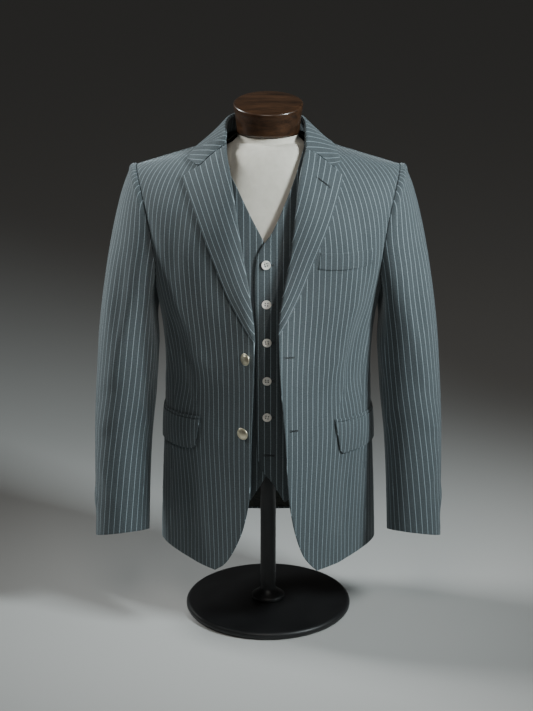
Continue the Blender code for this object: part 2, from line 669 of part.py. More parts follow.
def collar(name, rows, columns, finish):
    """The collar: a low stand round the neck, folded over into a fall that lies on the back and shoulders."""
    ring = FOLD_INSIDE + COLLAR_CLOTH
    stations = []
    for side in (-1, 1):
        fold, edge, seam_line, end = collar_lines(side)
        fold, edge, seam_line = through(fold, rows), through(edge, rows), through(seam_line, rows)
        end = through(end, columns)
        path_turn = end - (end[0] + np.linspace(0, 1, columns)[:, None] * (end[-1] - end[0]))
        forward = unit(np.gradient(fold, axis=0)) * side
        half = []
        for i, share in enumerate(np.linspace(0, 1, rows)):
            fall = unit(edge[i] - fold[i])
            out = unit(np.cross(forward[i], fall))
            centre = fold[i] + (fall - out) * ring
            foot = centre - out * ring
            stand = unit(seam_line[i] - foot)
            away = unit(np.cross(forward[i], stand))
            seen = [seam_line[i], (seam_line[i] + foot) / 2]
            under = [point + away * COLLAR_CLOTH for point in seen]
            for turn in (-90, -30, 30, 90):
                a = math.radians(turn)
                spoke = math.sin(a) * out - math.cos(a) * fall
                seen.append(centre + spoke * ring)
                under.append(centre + spoke * FOLD_INSIDE)
            start = seen[-1]
            bend = np.clip((share - 0.75) / 0.25, 0, 1) ** 1.5
            for v in np.linspace(0, 1, columns)[1:]:
                point = start + (edge[i] - start) * v
                point = point + out * (0.003 - 0.002 * share) * math.sin(math.pi * v)
                point = point + path_turn[round(v * (columns - 1))] * bend
                seen.append(point)
                under.append(point - out * COLLAR_CLOTH)
            half.append((seen, under))
        stations += half[::-1] if side < 0 else half[1:]
    grids = []
    for grid in (np.array([s[0] for s in stations]), np.array([s[1] for s in stations])):
        gap = COLLAR_END_GAP * np.interp(np.arange(grid.shape[1]), (0, 3, 6), (2.6, 1.8, 1))[:, None]
        grid[0] += unit(grid[1] - grid[0]) * gap
        grid[-1] += unit(grid[-2] - grid[-1]) * gap
        grids.append(grid)
    return wall(name, *grids, finish)


def turned(name, rings, finish):
    """A closed solid through a stack of rings of points, with flat ends."""
    mesh = bpy.data.meshes.new(name)
    body = bmesh.new()
    loops = [[body.verts.new(point) for point in ring] for ring in rings]
    for low, high in zip(loops, loops[1:]):
        for i in range(len(low)):
            j = (i + 1) % len(low)
            body.faces.new((low[i], low[j], high[j], high[i]))
    body.faces.new(loops[0][::-1])
    body.faces.new(loops[-1])
    bmesh.ops.triangulate(body, faces=body.faces)
    bmesh.ops.recalc_face_normals(body, faces=body.faces)
    body.to_mesh(mesh)
    body.free()
    return show(name, mesh, finish)


def disc(name, centre, axis, profile, finish, sides=20):
    """A turned piece: profile rows are (distance along the axis, radius)."""
    axis = unit(np.asarray(axis, float))
    first = unit(np.cross(axis, (0.3, 1, 0.2)))
    second = np.cross(axis, first)
    turn = np.linspace(0, 2 * math.pi, sides, endpoint=False)[:, None]
    spokes = np.cos(turn) * first + np.sin(turn) * second
    rings = [np.asarray(centre) + axis * rise + radius * spokes for rise, radius in profile]
    return turned(name, rings, finish)


def torso_solid(name, torso, rows, finish):
    """The dress form: closed below, closed along the shoulders and open only into its covered neck."""
    x = np.array([0, *FORM_COLUMNS])
    half = np.append(torso.locate(x, torso.ridge_height(x))[:, 0], math.pi / 2)
    front = np.concatenate([-half[:0:-1], half])
    ring = np.concatenate([front, math.pi - front[-2:0:-1]])
    low = FORM_BOTTOM / torso.ridge_height(0.1)
    levels = low + (1 - low) * (1 - (1 - np.linspace(0, 1, rows)) ** 1.8)
    body = bmesh.new()
    shells = [torso.place(ring, np.full(ring.shape, level)) for level in levels]
    for depth, scale in FORM_UNDERSIDE:
        shells.insert(0, shells[-rows] * (scale, scale, 0) + (0, 0, FORM_BOTTOM - depth))
    loops = [[body.verts.new(point) for point in shell] for shell in shells]
    for below, above in zip(loops, loops[1:]):
        for i in range(len(ring)):
            j = (i + 1) % len(ring)
            body.faces.new((below[i], below[j], above[j], above[i]))
    body.faces.new(loops[0][::-1])
    bmesh.ops.remove_doubles(body, verts=body.verts, dist=2e-5)
    for height, radius in FORM_NECK_RINGS:
        edge = [e for e in body.edges if e.is_boundary]
        grown = bmesh.ops.extrude_edge_only(body, edges=edge)
        for vert in (v for v in grown["geom"] if isinstance(v, bmesh.types.BMVert)):
            angle = math.atan2(vert.co.y - 0.002, vert.co.x)
            vert.co = (radius * math.cos(angle), 0.001 + radius * math.sin(angle), height)
    bmesh.ops.contextual_create(body, geom=[e for e in body.edges if e.is_boundary])
    bmesh.ops.triangulate(body, faces=body.faces)
    bmesh.ops.recalc_face_normals(body, faces=body.faces)
    mesh = bpy.data.meshes.new(name)
    body.to_mesh(mesh)
    body.free()
    return show(name, mesh, finish)


clear_scene()

WOOL = material("slate_pinstripe_wool", (0.075, 0.095, 0.115), 0.85)
LINING = material("dark_lining_satin", (0.020, 0.020, 0.016), 0.45)
LINEN = material("ivory_linen", (0.72, 0.69, 0.62), 0.9)
WOOD = material("dark_mahogany", (0.060, 0.018, 0.010), 0.25)
METAL = material("black_satin_metal", (0.012, 0.012, 0.013), 0.4, 1.0)
PEWTER = material("pale_pewter", (0.55, 0.52, 0.45), 0.3, 1.0)
PEARL = material("grey_pearl", (0.42, 0.42, 0.42), 0.3)

# The jacket's body: two fronts, two side panels and two backs. Neighbours share the points of their seams.
for side, word in ((1, "left"), (-1, "right")):
    front_arm, back_arm = (ARMHOLE[s][list(TURNS)] for s in (-1, 1))
    side_seam = along(JACKET, [*seam(JACKET, *SIDE_SEAM), front_arm[SIDE_SEAM_TOP]], SEAM_ROWS)
    back_seam = along(JACKET, [*seam(JACKET, *BACK_SEAM), back_arm[SIDE_SEAM_TOP]], SEAM_ROWS)
    hem = spots(JACKET, -1, HEM_START[side])
    top = shoulder(JACKET, -1, NECK_HALF + 0.001, SHOULDER_HALF, 5)
    roll = sided_front(through(ROLL[side], ROLL_ROWS), 1)
    below_roll = along(JACKET, hem + spots(JACKET, -1, *FRONT_EDGE[side]), SEAM_ROWS + SIDE_SEAM_TOP - ROLL_ROWS)
    front = patch(
        along(JACKET, [*hem, *seam(JACKET, *HEM_FRONT)], FRONT_COLUMNS),
        along(JACKET, top, FRONT_COLUMNS),
        np.concatenate([below_roll, roll[1:], top[:1]]),
        np.concatenate([side_seam, front_arm[:SIDE_SEAM_TOP][::-1]]),
    )
    piece(f"jacket_front_{word}", JACKET, sided(front, side), WOOL)

    underarm = np.concatenate([front_arm[SIDE_SEAM_TOP:], back_arm[SIDE_SEAM_TOP:-1][::-1]])
    hem = along(JACKET, seam(JACKET, *HEM_SIDE), len(underarm))
    piece(f"jacket_side_{word}", JACKET, sided(patch(hem, underarm, side_seam, back_seam), side), WOOL)

    top = shoulder(JACKET, 1, 0.0, SHOULDER_HALF, 12)[::-1]
    centre = [(math.pi, height / BACK_CENTRE[-1]) for height in BACK_CENTRE]
    back = patch(
        along(JACKET, seam(JACKET, *HEM_BACK), BACK_COLUMNS),
        along(JACKET, top, BACK_COLUMNS),
        np.concatenate([back_seam, back_arm[:SIDE_SEAM_TOP][::-1]]),
        along(JACKET, centre, SEAM_ROWS + SIDE_SEAM_TOP, 1.2),
    )
    piece(f"jacket_back_{word}", JACKET, sided(back, side), WOOL)
    back[0, :, 1] += LINING_RISE / JACKET.ridge_height(0)
    piece(f"back_lining_{word}", JACKET, sided(back[:-1], side), LINING, -CLOTH - CLEAR, LINING_CLOTH)

    downs = np.concatenate([1 - (1 - np.linspace(0, 1, SLEEVE_HEAD_ROWS)) ** 0.8, SLEEVE_HANG_ROWS])
    turns = np.array(TURNS)
    top_turns = np.append(-turns[SLEEVE_BACK_SEAM:0:-1], turns[: SLEEVE_FRONT_SEAM + 1])
    under_turns = np.append(turns[SLEEVE_FRONT_SEAM:], 360 - turns[-2 : SLEEVE_BACK_SEAM - 1 : -1])
    sleeve_piece(f"sleeve_top_{word}", side, top_turns, downs, WOOL)
    sleeve_piece(f"sleeve_under_{word}", side, under_turns, downs, WOOL)
    lapel(f"lapel_{word}", side, LAPEL_COLUMNS, WOOL)

collar("collar", COLLAR_ROWS, COLLAR_COLUMNS, WOOL)
torso_solid("form_torso", FORM, FORM_ROWS, LINEN)

# Pockets: two flaps, the piping above them, and the welt on the chest.
for side, word in ((1, "left"), (-1, "right")):
    top_front, top_back, low_back, low_front = (ring_point(*corner, JACKET) for corner in FLAP[side])
    round_front = ring_point(FLAP[side][3][0] + FLAP_SHOULDER[0], FLAP[side][3][1] + FLAP_SHOULDER[1], JACKET)
    flap = patch(
        through([low_front, low_back], FLAP_COLUMNS),
        through([top_front, top_back], FLAP_COLUMNS),
        through([low_front, round_front, top_front], FLAP_ROWS),
        through([low_back, top_back], FLAP_ROWS),
    )
    piece(f"pocket_flap_{word}", JACKET, sided(flap, side), WOOL, ON_TOP + FLAP_CLOTH, FLAP_CLOTH)
    jet = np.stack([flap[-1], flap[-1]])
    jet[0, :, 1] += JET_ABOVE_FLAP / ROUND_HEIGHT
    jet[1, :, 1] += (JET_ABOVE_FLAP + JET_HEIGHT) / ROUND_HEIGHT
    piece(f"pocket_jet_{word}", JACKET, sided(jet, side), WOOL, ON_TOP + CLEAR + JET_CLOTH, JET_CLOTH)

corners = spots(JACKET, -1, *WELT)
welt = patch(
    through([corners[0], corners[1]], WELT_COLUMNS),
    through([corners[3], corners[2]], WELT_COLUMNS),
    through([corners[0], corners[3]], WELT_ROWS),
    through([corners[1], corners[2]], WELT_ROWS),
)
piece("breast_welt", JACKET, welt, WOOL, ON_TOP + WELT_CLOTH, WELT_CLOTH)

# The waistcoat, worn on the form: two fronts that lap in the middle, and a back.
for side, word in ((1, "left"), (-1, "right")):
    top = shoulder(FORM, -1, *VEST_SHOULDER, 5).tolist()
    arm = spots(FORM, -1, *VEST_ARMHOLE)
    edge = [(x * side, height) for x, height in VEST_FRONT[side] + VEST_NECKLINE[side]]
    inner_edge = spots(FORM, -1, *edge) + top[:1]
    vest = patch(
        through(inner_edge[:1] + seam(FORM, *VEST_HEM), VEST_COLUMNS),
        through(top, VEST_COLUMNS),
        through(inner_edge, VEST_ROWS, 1.5),
        through(seam(FORM, *VEST_SIDE) + arm + top[-1:], VEST_ROWS, 1.5),
    )
    near = np.clip((VEST_LAP_FROM - np.degrees(vest[..., 0])) / (VEST_LAP_FROM - VEST_LAP_TO), 0, 1)
    lift = VEST_LIFT + (VEST_OVERLAP if side > 0 else 0) * near**2 * (3 - 2 * near)
    grid = sided(vest, side)
    piece(f"waistcoat_front_{word}", FORM, grid, WOOL, lift if side > 0 else lift[:, ::-1], VEST_CLOTH)

top = shoulder(FORM, 1, 0.0, VEST_SHOULDER[1], 5)[::-1].tolist()
arm = spots(FORM, 1, *VEST_BACK_ARMHOLE)
centre = [(math.pi, height / VEST_BACK_CENTRE[-1]) for height in VEST_BACK_CENTRE]
half = patch(
    through(seam(FORM, *VEST_BACK_HEM), VEST_BACK_COLUMNS),
    through(top, VEST_BACK_COLUMNS),
    through(seam(FORM, *VEST_SIDE) + arm + top[:1], VEST_BACK_ROWS, 1.6),
    through(centre, VEST_BACK_ROWS, 1.6),
)
other = half[:, ::-1].copy()
other[..., 0] = 2 * math.pi - other[..., 0]
back = np.concatenate([half, other[:, 1:]], 1)
piece("waistcoat_back", FORM, back, LINING, VEST_BACK_LIFT, VEST_BACK_CLOTH)

# Buttons: domed metal ones on shanks on the jacket, flat four-hole ones on the waistcoat.
for number, (x, height, turned_out, tipped) in enumerate(JACKET_BUTTONS, 1):
    turned_out, tipped = math.radians(turned_out), math.radians(tipped)
    facing = -math.sin(turned_out), -math.cos(turned_out), math.tan(tipped)
    disc(f"jacket_button_{number}", on_jacket(x, height, -1, SHANK), facing, DOMED, PEWTER)
for number, (x, height) in enumerate(VEST_BUTTONS, 1):
    spot = FORM.locate(x, height, -1)[None, None]
    centre, out = drape(FORM, spot, VEST_LIFT + VEST_OVERLAP)
    disc(f"waistcoat_button_{number}", centre[0, 0], out[0, 0], FLAT, PEARL)

# The turned neck block leans forward at its top; a pole carries the form on a round base.
turn = np.linspace(0, 2 * math.pi, 40, endpoint=False)
rings = []
for height, radius, lean in NECK_BLOCK_RINGS:
    lean = math.radians(lean)
    depth = radius * np.sin(turn)
    x, y, z = radius * np.cos(turn), NECK_BLOCK_Y + depth * math.cos(lean), height + depth * math.sin(lean)
    rings.append(np.stack([x, y, z], -1))
turned("neck_block", rings, WOOD)
disc("pole", (0, 0, 0), (0, 0, 1), POLE_RINGS, METAL, sides=24)
disc("base", (0, 0, 0), (0, 0, 1), BASE_RINGS, METAL, sides=64)
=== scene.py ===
"""A pinstriped suit jacket and waistcoat on a limbless dress form: the looks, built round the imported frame.

Metres, +Z up, the wearer faces -Y, and the wearer's left is +X. Cloth is laid on torso shapes by
(angle, level): angle 0 is the front and pi/2 the wearer's left, and level 1 is the shoulder line.
"""

import math

import bmesh
import bpy
import numpy as np
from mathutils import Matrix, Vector


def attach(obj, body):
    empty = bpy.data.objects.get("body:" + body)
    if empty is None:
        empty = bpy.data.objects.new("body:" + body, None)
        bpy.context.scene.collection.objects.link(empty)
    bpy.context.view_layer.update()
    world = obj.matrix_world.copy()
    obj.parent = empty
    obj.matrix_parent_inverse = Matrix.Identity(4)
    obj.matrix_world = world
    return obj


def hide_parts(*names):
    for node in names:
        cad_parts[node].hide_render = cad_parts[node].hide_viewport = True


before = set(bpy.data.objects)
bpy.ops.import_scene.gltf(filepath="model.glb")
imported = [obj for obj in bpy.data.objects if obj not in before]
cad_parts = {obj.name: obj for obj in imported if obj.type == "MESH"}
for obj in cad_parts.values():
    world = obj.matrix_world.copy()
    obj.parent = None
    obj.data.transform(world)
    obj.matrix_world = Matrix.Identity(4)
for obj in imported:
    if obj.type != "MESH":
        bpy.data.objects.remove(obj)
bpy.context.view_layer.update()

# The dress form's torso: rigid foam moulded to a general chest and back, with ivory linen drawn over it and
# glued down, so it has no folds. The weave of the linen shows close up.


def weights(t):
    """What a start, its slope, an end and its slope each count for at t along a smooth curve."""
    return 2 * t**3 - 3 * t**2 + 1, t**3 - 2 * t**2 + t, 3 * t**2 - 2 * t**3, t**3 - t**2


def smooth(keys, values, at):
    """A smooth curve through (keys, values), read at one place or many."""
    keys, values = np.asarray(keys, float), np.asarray(values, float)
    at = np.clip(np.asarray(at, float), keys[0], keys[-1])
    steps = np.diff(keys)
    rises = np.diff(values) / steps
    slopes = np.concatenate([[rises[0]], (rises[1:] + rises[:-1]) / 2, [rises[-1]]])
    flat = rises[1:] * rises[:-1] <= 0
    slopes[1:-1][flat] = 0
    i = np.clip(np.searchsorted(keys, at, side="right") - 1, 0, len(steps) - 1)
    step = steps[i]
    start, leaving, end, arriving = weights((at - keys[i]) / step)
    left = start * values[i] + leaving * step * slopes[i]
    return left + end * values[i + 1] + arriving * step * slopes[i + 1]


class Table:
    """Rows of sizes under named columns, read smoothly at any value of the first column."""

    def __init__(self, names, *rows):
        self.columns = dict(zip(names.split(), np.array(rows, float).T))
        self.keys = next(iter(self.columns.values()))

    def read(self, name, at):
        return smooth(self.keys, self.columns[name], at)


SHOULDER_HEIGHT = 0.85
SETTLE_STEPS = 8


class Torso:
    """A rounded torso whose front (side -1) and back (side 1) meet in a ridge along the shoulders and in a
    neck hole."""

    roundness = 2.4

    def __init__(self, rings, swell, ridge, neck_half, neck, neck_curve, drop):
        self.rings, self.swell, self.ridge = rings, swell, ridge
        self.neck_half, self.neck, self.neck_curve, self.drop = neck_half, neck, neck_curve, drop

    def ridge_height(self, x):
        return self.ridge.read("height", np.abs(x))

    def across(self, x, height, side):
        """The depth y at that x and height, on the front or the back."""
        share = np.clip(np.abs(x) / self.rings.read("half_width", height), 0, 1)
        if side < 0:
            curve = self.swell.read("roundness", height)
            flare = self.swell.read("flare", height) * np.exp(-((x / FLARE_WIDTH) ** 2))
            full = -self.rings.read("front", height) * (1 - share**curve) ** (1 / curve) - flare
        else:
            full = self.rings.read("back", height) * (1 - share**self.roundness) ** (1 / self.roundness)
        curve = self.neck_curve[side]
        hole = np.clip(1 - np.abs(np.asarray(x) / self.neck_half) ** curve, 0, 1) ** (1 / curve)
        top = self.ridge.read("depth", np.abs(x)) + side * self.neck[side] * hole
        down = np.clip((self.ridge_height(x) - height) / self.drop[side], 0, 1)
        return top + (full - top) * np.sqrt(1 - (1 - down) ** 2)

    def place(self, angle, level):
        """Points for angles round the body and levels up it."""
        angle, level = np.broadcast_arrays(np.asarray(angle, float), np.asarray(level, float))
        swing = np.sign(np.sin(angle)) * np.abs(np.sin(angle)) ** (2 / self.roundness)
        height = level * SHOULDER_HEIGHT
        for _ in range(SETTLE_STEPS):
            x = swing * self.rings.read("half_width", height)
            height = level * self.ridge_height(x)
        front, back = (self.across(x, height, side) for side in (-1, 1))
        return np.stack([x, np.where(np.cos(angle) >= 0, front, back), height], -1)

    def locate(self, x, height, side=-1):
        """The (angle, level) of a point seen at that x and height, on the front or the back."""
        share = np.clip(np.abs(x) / self.rings.read("half_width", height), 0, 1)
        angle = np.arcsin(share ** (self.roundness / 2)) * np.where(np.asarray(x) < 0, -1, 1)
        if side > 0:
            angle = np.where(np.asarray(x) < 0, -math.pi, math.pi) - angle
        return np.stack([angle, height / self.ridge_height(x)], -1)


FLARE_WIDTH = 0.046
FORM_BOTTOM = 0.335
FORM = Torso(
    Table(
        "height half_width front back",
        (0.240, 0.146, 0.112, 0.120), (0.350, 0.150, 0.113, 0.112), (0.410, 0.150, 0.113, 0.100),
        (0.470, 0.150, 0.115, 0.094), (0.540, 0.155, 0.120, 0.098), (0.600, 0.164, 0.125, 0.107),
        (0.660, 0.175, 0.127, 0.113), (0.720, 0.181, 0.125, 0.116), (0.780, 0.187, 0.121, 0.114),
        (0.840, 0.192, 0.117, 0.108), (0.900, 0.195, 0.115, 0.105),
    ),
    Table("height roundness flare", (0.240, 2.4, 0.0), (0.900, 2.4, 0.0)),
    Table(
        "x height depth",
        (0.000, 0.864, 0.004), (0.050, 0.863, 0.004), (0.062, 0.858, 0.004), (0.080, 0.849, 0.005),
        (0.120, 0.8345, 0.008), (0.185, 0.8120, 0.010), (0.250, 0.7900, 0.010),
    ),
    neck_half=0.060, neck={-1: 0.058, 1: 0.052}, neck_curve={-1: 2.0, 1: 2.0}, drop={-1: 0.15, 1: 0.12},
)


def ring_angles(torso, ends):
    """Angles all the way round a torso, close together at its neck and shoulders."""
    x = np.concatenate([np.linspace(0, torso.neck_half, 16), np.linspace(torso.neck_half, ends, 40)[1:]])
    half = np.append(torso.locate(x, torso.ridge_height(x))[:, 0], math.pi / 2)
    front = np.concatenate([-half[:0:-1], half])
    return np.concatenate([front, math.pi - front[-2:0:-1]])


def node(tree, kind, inputs=(), **values):
    """A shader or geometry node with its settings, and with its inputs set or linked by name or number."""
    made = tree.nodes.new(kind)
    for key, value in values.items():
        setattr(made, key, value)
    for key, value in dict(inputs).items():
        if isinstance(value, bpy.types.NodeSocket):
            tree.links.new(value, made.inputs[key])
        else:
            made.inputs[key].default_value = value
    return made


def maths(tree, operation, *inputs):
    return node(tree, "ShaderNodeMath", dict(enumerate(inputs)), operation=operation).outputs[0]


def scaled(tree, value, share, plus):
    return maths(tree, "MULTIPLY_ADD", value, share, plus)


def times(tree, one, two):
    return maths(tree, "MULTIPLY", one, two)


def mixed(tree, factor, low, high):
    return node(tree, "ShaderNodeMix", {0: factor, 6: low, 7: high}, data_type="RGBA").outputs[2]


def noise(tree, place, scale, detail, output="Fac", **more):
    inputs = {"Vector": place, "Scale": scale, "Detail": detail, **more}
    return node(tree, "ShaderNodeTexNoise", inputs).outputs[output]


def object_place(tree):
    return node(tree, "ShaderNodeTexCoord").outputs["Object"]


def new_material(name, **settings):
    """A material with its Principled shader's constant settings; returns it with its tree and shader."""
    made = bpy.data.materials.new(name)
    made.use_nodes = True
    shader = made.node_tree.nodes["Principled BSDF"]
    for key, value in settings.items():
        shader.inputs[key.replace("_", " ")].default_value = value
    return made, made.node_tree, shader


def bump(tree, shader, height, distance, strength):
    made = node(tree, "ShaderNodeBump", {"Height": height, "Distance": distance, "Strength": strength})
    tree.links.new(made.outputs[0], shader.inputs["Normal"])


def toned(tree, shader, factor, dark, light, rough=None):
    """Colours a shader between two tones, and may make it rougher with the same pattern."""
    tree.links.new(mixed(tree, factor, (*dark, 1), (*light, 1)), shader.inputs["Base Color"])
    if rough:
        tree.links.new(scaled(tree, factor, *rough), shader.inputs["Roughness"])


def node_group(name, inputs, outputs, kind="Shader"):
    """An empty node group with named sockets; returns it with its inputs by name and its output node."""
    group = bpy.data.node_groups.new(name, f"{kind}NodeTree")
    for label, socket_kind, *value in inputs:
        socket = group.interface.new_socket(label, in_out="INPUT", socket_type=f"NodeSocket{socket_kind}")
        if value:
            socket.default_value = value[0]
    for label, socket_kind in outputs:
        group.interface.new_socket(label, in_out="OUTPUT", socket_type=f"NodeSocket{socket_kind}")
    return group, group.nodes.new("NodeGroupInput").outputs, group.nodes.new("NodeGroupOutput")


def weave_group():
    """Plain or twill weave: threads over and under each other, from a position in metres on the cloth."""
    inputs = ("Across", "Float"), ("Along", "Float"), ("Thread", "Float", 0.0008), ("Slant", "Float")
    group, given, result = node_group("weave", inputs, (("Over", "Float"), ("Height", "Float")))
    turns = maths(group, "DIVIDE", 2 * math.pi, given["Thread"])
    slanted = scaled(group, given["Slant"], given["Across"], given["Along"])
    warp = maths(group, "SINE", times(group, given["Across"], turns))
    weft = maths(group, "SINE", times(group, slanted, turns))
    over = scaled(group, times(group, warp, weft), 0.5, 0.5)
    ribs = scaled(group, weft, 0.5, 0.5)
    slant_used = maths(group, "MINIMUM", maths(group, "ABSOLUTE", given["Slant"]), 1.0)
    both = scaled(group, maths(group, "SUBTRACT", ribs, over), slant_used, over)
    for socket in result.inputs[:2]:
        group.links.new(both, socket)
    return group


WEAVE = weave_group()


def woven(tree, place, axes, thread, slant=0.0):
    """The weave at a place whose two named axes run across and along the cloth; returns its outputs."""
    apart = node(tree, "ShaderNodeSeparateXYZ", {0: place}).outputs
    inputs = {"Across": apart[axes[0]], "Along": apart[axes[1]], "Thread": thread, "Slant": slant}
    return node(tree, "ShaderNodeGroup", inputs, node_tree=WEAVE).outputs


def linen():
    made, tree, shader = new_material("ivory_linen", Roughness=0.9, Sheen_Weight=0.15, Sheen_Roughness=0.5)
    place = object_place(tree)
    weave = woven(tree, place, "XZ", 0.0011)
    slubs = noise(tree, place, 90.0, 4.0)
    shade = scaled(tree, weave["Over"], 0.35, times(tree, slubs, 0.65))
    toned(tree, shader, shade, (0.56, 0.52, 0.44), (0.80, 0.77, 0.69))
    bump(tree, shader, weave["Height"], 0.0004, 0.35)
    return made


def link(obj):
    bpy.context.scene.collection.objects.link(obj)
    return obj


def place_piece(obj, node_name):
    """Hands a finished piece to the frame: it rides with the body and stands for its CAD node."""
    if obj.name not in bpy.context.scene.collection.objects:
        link(obj)
    obj.data.shade_smooth()
    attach(obj, "root")
    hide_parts(node_name)


def loft(body, rings):
    """Joins a stack of rings of points with quads and closes the lowest; returns the highest's corners."""
    loops = [[body.verts.new(point) for point in ring] for ring in rings]
    for low, high in zip(loops, loops[1:]):
        for i in range(len(low)):
            j = (i + 1) % len(low)
            body.faces.new((low[i], low[j], high[j], high[i]))
    body.faces.new(loops[0][::-1])
    return loops[-1]


def finished(body, name, finish=None):
    """An object made of a mesh under construction, with its faces turned outwards."""
    bmesh.ops.recalc_face_normals(body, faces=body.faces)
    mesh = bpy.data.meshes.new(name)
    body.to_mesh(mesh)
    body.free()
    if finish:
        mesh.materials.append(finish)
    return bpy.data.objects.new(name, mesh)


FORM_UNDERSIDE = (0.002, 0.997), (0.006, 0.985), (0.010, 0.96), (0.013, 0.92), (0.014, 0.86)
FORM_NECK = (0.8655, 0.0540), (0.8680, 0.0522), (0.8720, 0.0518), (0.8760, 0.0516)
FORM_NECK_HOLE_Y, FORM_NECK_Y = 0.002, 0.001
FORM_ROWS, ROWS_CROWD, SAME_PLACE = 90, 1.8, 2e-5


def form_torso():
    ring = ring_angles(FORM, 0.187)
    low = FORM_BOTTOM / FORM.ridge_height(0.1)
    levels = low + (1 - low) * (1 - (1 - np.linspace(0, 1, FORM_ROWS)) ** ROWS_CROWD)
    shells = [FORM.place(ring, np.full(ring.shape, level)) for level in levels]
    for depth, scale in FORM_UNDERSIDE:
        shells.insert(0, shells[-FORM_ROWS] * (scale, scale, 0) + (0, 0, FORM_BOTTOM - depth))
    body = bmesh.new()
    loft(body, shells)
    bmesh.ops.remove_doubles(body, verts=body.verts, dist=SAME_PLACE)
    for height, radius in FORM_NECK:
        edge = [e for e in body.edges if e.is_boundary]
        grown = bmesh.ops.extrude_edge_only(body, edges=edge)
        for vert in (v for v in grown["geom"] if isinstance(v, bmesh.types.BMVert)):
            angle = math.atan2(vert.co.y - FORM_NECK_HOLE_Y, vert.co.x)
            vert.co = (radius * math.cos(angle), FORM_NECK_Y + radius * math.sin(angle), height)
    bmesh.ops.contextual_create(body, geom=[e for e in body.edges if e.is_boundary])
    place_piece(finished(body, "linen_torso", linen()), "form_torso")


form_torso()

# The neck block: mahogany turned on a lathe, stained dark brown and lacquered, with a small round on its top
# edge. It is screwed on top of the torso and leans a little forward.

BLOCK = Table(
    "height radius lean",
    (0.8765, 0.0530, 0), (0.8900, 0.0540, 2), (0.8980, 0.0550, 4), (0.9060, 0.0560, 7), (0.9140, 0.0572, 8.5),
    (0.9185, 0.0581, 9.5), (0.9219, 0.0587, 10), (0.9240, 0.0588, 10), (0.9256, 0.0584, 10),
    (0.9267, 0.0574, 10), (0.9274, 0.0561, 10), (0.9281, 0.0530, 10), (0.9296, 0.0300, 10),
    (0.9302, 0.0040, 10),
)


def lathe(name, rings, finish):
    """A closed turned solid through a stack of rings of points."""
    body = bmesh.new()
    body.faces.new(loft(body, rings))
    return finished(body, name, finish)


def stretched(tree, place, scale):
    return node(tree, "ShaderNodeMapping", {"Vector": place, "Scale": scale}).outputs[0]


def mahogany():
    made, tree, shader = new_material(
        "dark_mahogany", Roughness=0.34, Coat_Weight=0.6, Coat_Roughness=0.16, Specular_IOR_Level=0.4
    )
    long = stretched(tree, object_place(tree), (9.0, 60.0, 90.0))
    grain = noise(tree, long, 1.4, 8.0, Roughness=0.6)
    pores = noise(tree, long, 9.0, 2.0)
    tone = scaled(tree, pores, 0.9, scaled(tree, grain, 1.9, -0.90))
    toned(tree, shader, tone, (0.008, 0.0042, 0.0023), (0.080, 0.0365, 0.0168))
    bump(tree, shader, pores, 0.0003, 0.12)
    return made


BLOCK_Y, BLOCK_SPOKES, RINGS_PER_ROW = -0.001, 96, 3
rings = []
spokes = np.linspace(0, 2 * math.pi, BLOCK_SPOKES, endpoint=False)
rows = [np.linspace(a, b, RINGS_PER_ROW, endpoint=False) for a, b in zip(BLOCK.keys, BLOCK.keys[1:])]
for height in np.concatenate([*rows, BLOCK.keys[-1:]]):
    radius, tilt = BLOCK.read("radius", height), np.radians(BLOCK.read("lean", height))
    rise = radius * np.sin(spokes)
    ring = radius * np.cos(spokes), BLOCK_Y + rise * np.cos(tilt), height + rise * np.sin(tilt)
    rings.append(np.stack(ring, -1))
place_piece(lathe("turned_neck_block", rings, mahogany()), "neck_block")

# The stand: a steel tube with a flange at its foot and a collar under the torso, on a heavy round plate. All
# of it is powder coated black, and the plate's edge is rounded over.

BASE_RADIUS, BASE_THICKNESS, BASE_ROUND, POLE_RADIUS = 0.150, 0.014, 0.007, 0.014
POLE_TOP = FORM_BOTTOM - 0.0144


def black_coat():
    made, tree, shader = new_material("black_powder_coat", Specular_IOR_Level=0.45)
    place = object_place(tree)
    dust = noise(tree, place, 14.0, 5.0)
    toned(tree, shader, dust, (0.008, 0.008, 0.009), (0.020, 0.020, 0.021), (0.2, 0.32))
    bump(tree, shader, noise(tree, place, 900.0, 2.0), 0.0002, 0.25)
    return made


def turned_profile(name, profile, finish, sides):
    """A lathe piece on the Z axis: profile rows are (height, radius)."""
    turn = np.linspace(0, 2 * math.pi, sides, endpoint=False)
    circle = np.stack([np.cos(turn), np.sin(turn), 0 * turn], -1)
    return lathe(name, [circle * radius + (0, 0, height) for height, radius in profile], finish)


BLACK = black_coat()
pole_profile = (
    (BASE_THICKNESS + 0.0004, 0.0292), (0.0150, 0.0300), (0.0205, 0.0300), (0.0220, 0.0285), (0.0250, 0.0235),
    (0.0290, 0.0185), (0.0330, 0.0150), (0.0360, POLE_RADIUS), (0.1800, POLE_RADIUS),
    (POLE_TOP - 0.0105, POLE_RADIUS), (POLE_TOP - 0.0100, 0.0232), (POLE_TOP - 0.0090, 0.0240),
    (POLE_TOP - 0.0010, 0.0240), (POLE_TOP, 0.0232),
)
place_piece(turned_profile("stand_pole", pole_profile, BLACK, 72), "pole")
base_profile = [(0.0, 0.120)]
for turn in np.linspace(0.05, math.pi, 14):
    height = BASE_THICKNESS / 2 - BASE_ROUND * math.cos(turn)
    base_profile.append((height, BASE_RADIUS - BASE_ROUND + BASE_ROUND * math.sin(turn)))
base_profile.append((BASE_THICKNESS, 0.040))
place_piece(turned_profile("stand_base", base_profile, BLACK, 144), "base")

# The waistcoat's back: one piece of dark satin, cut to the side seams, the armholes and the collarless neck,
# and drawn in a little at the waist. It is hidden by the jacket.


def unit(vectors):
    return vectors / np.linalg.norm(vectors, axis=-1, keepdims=True)


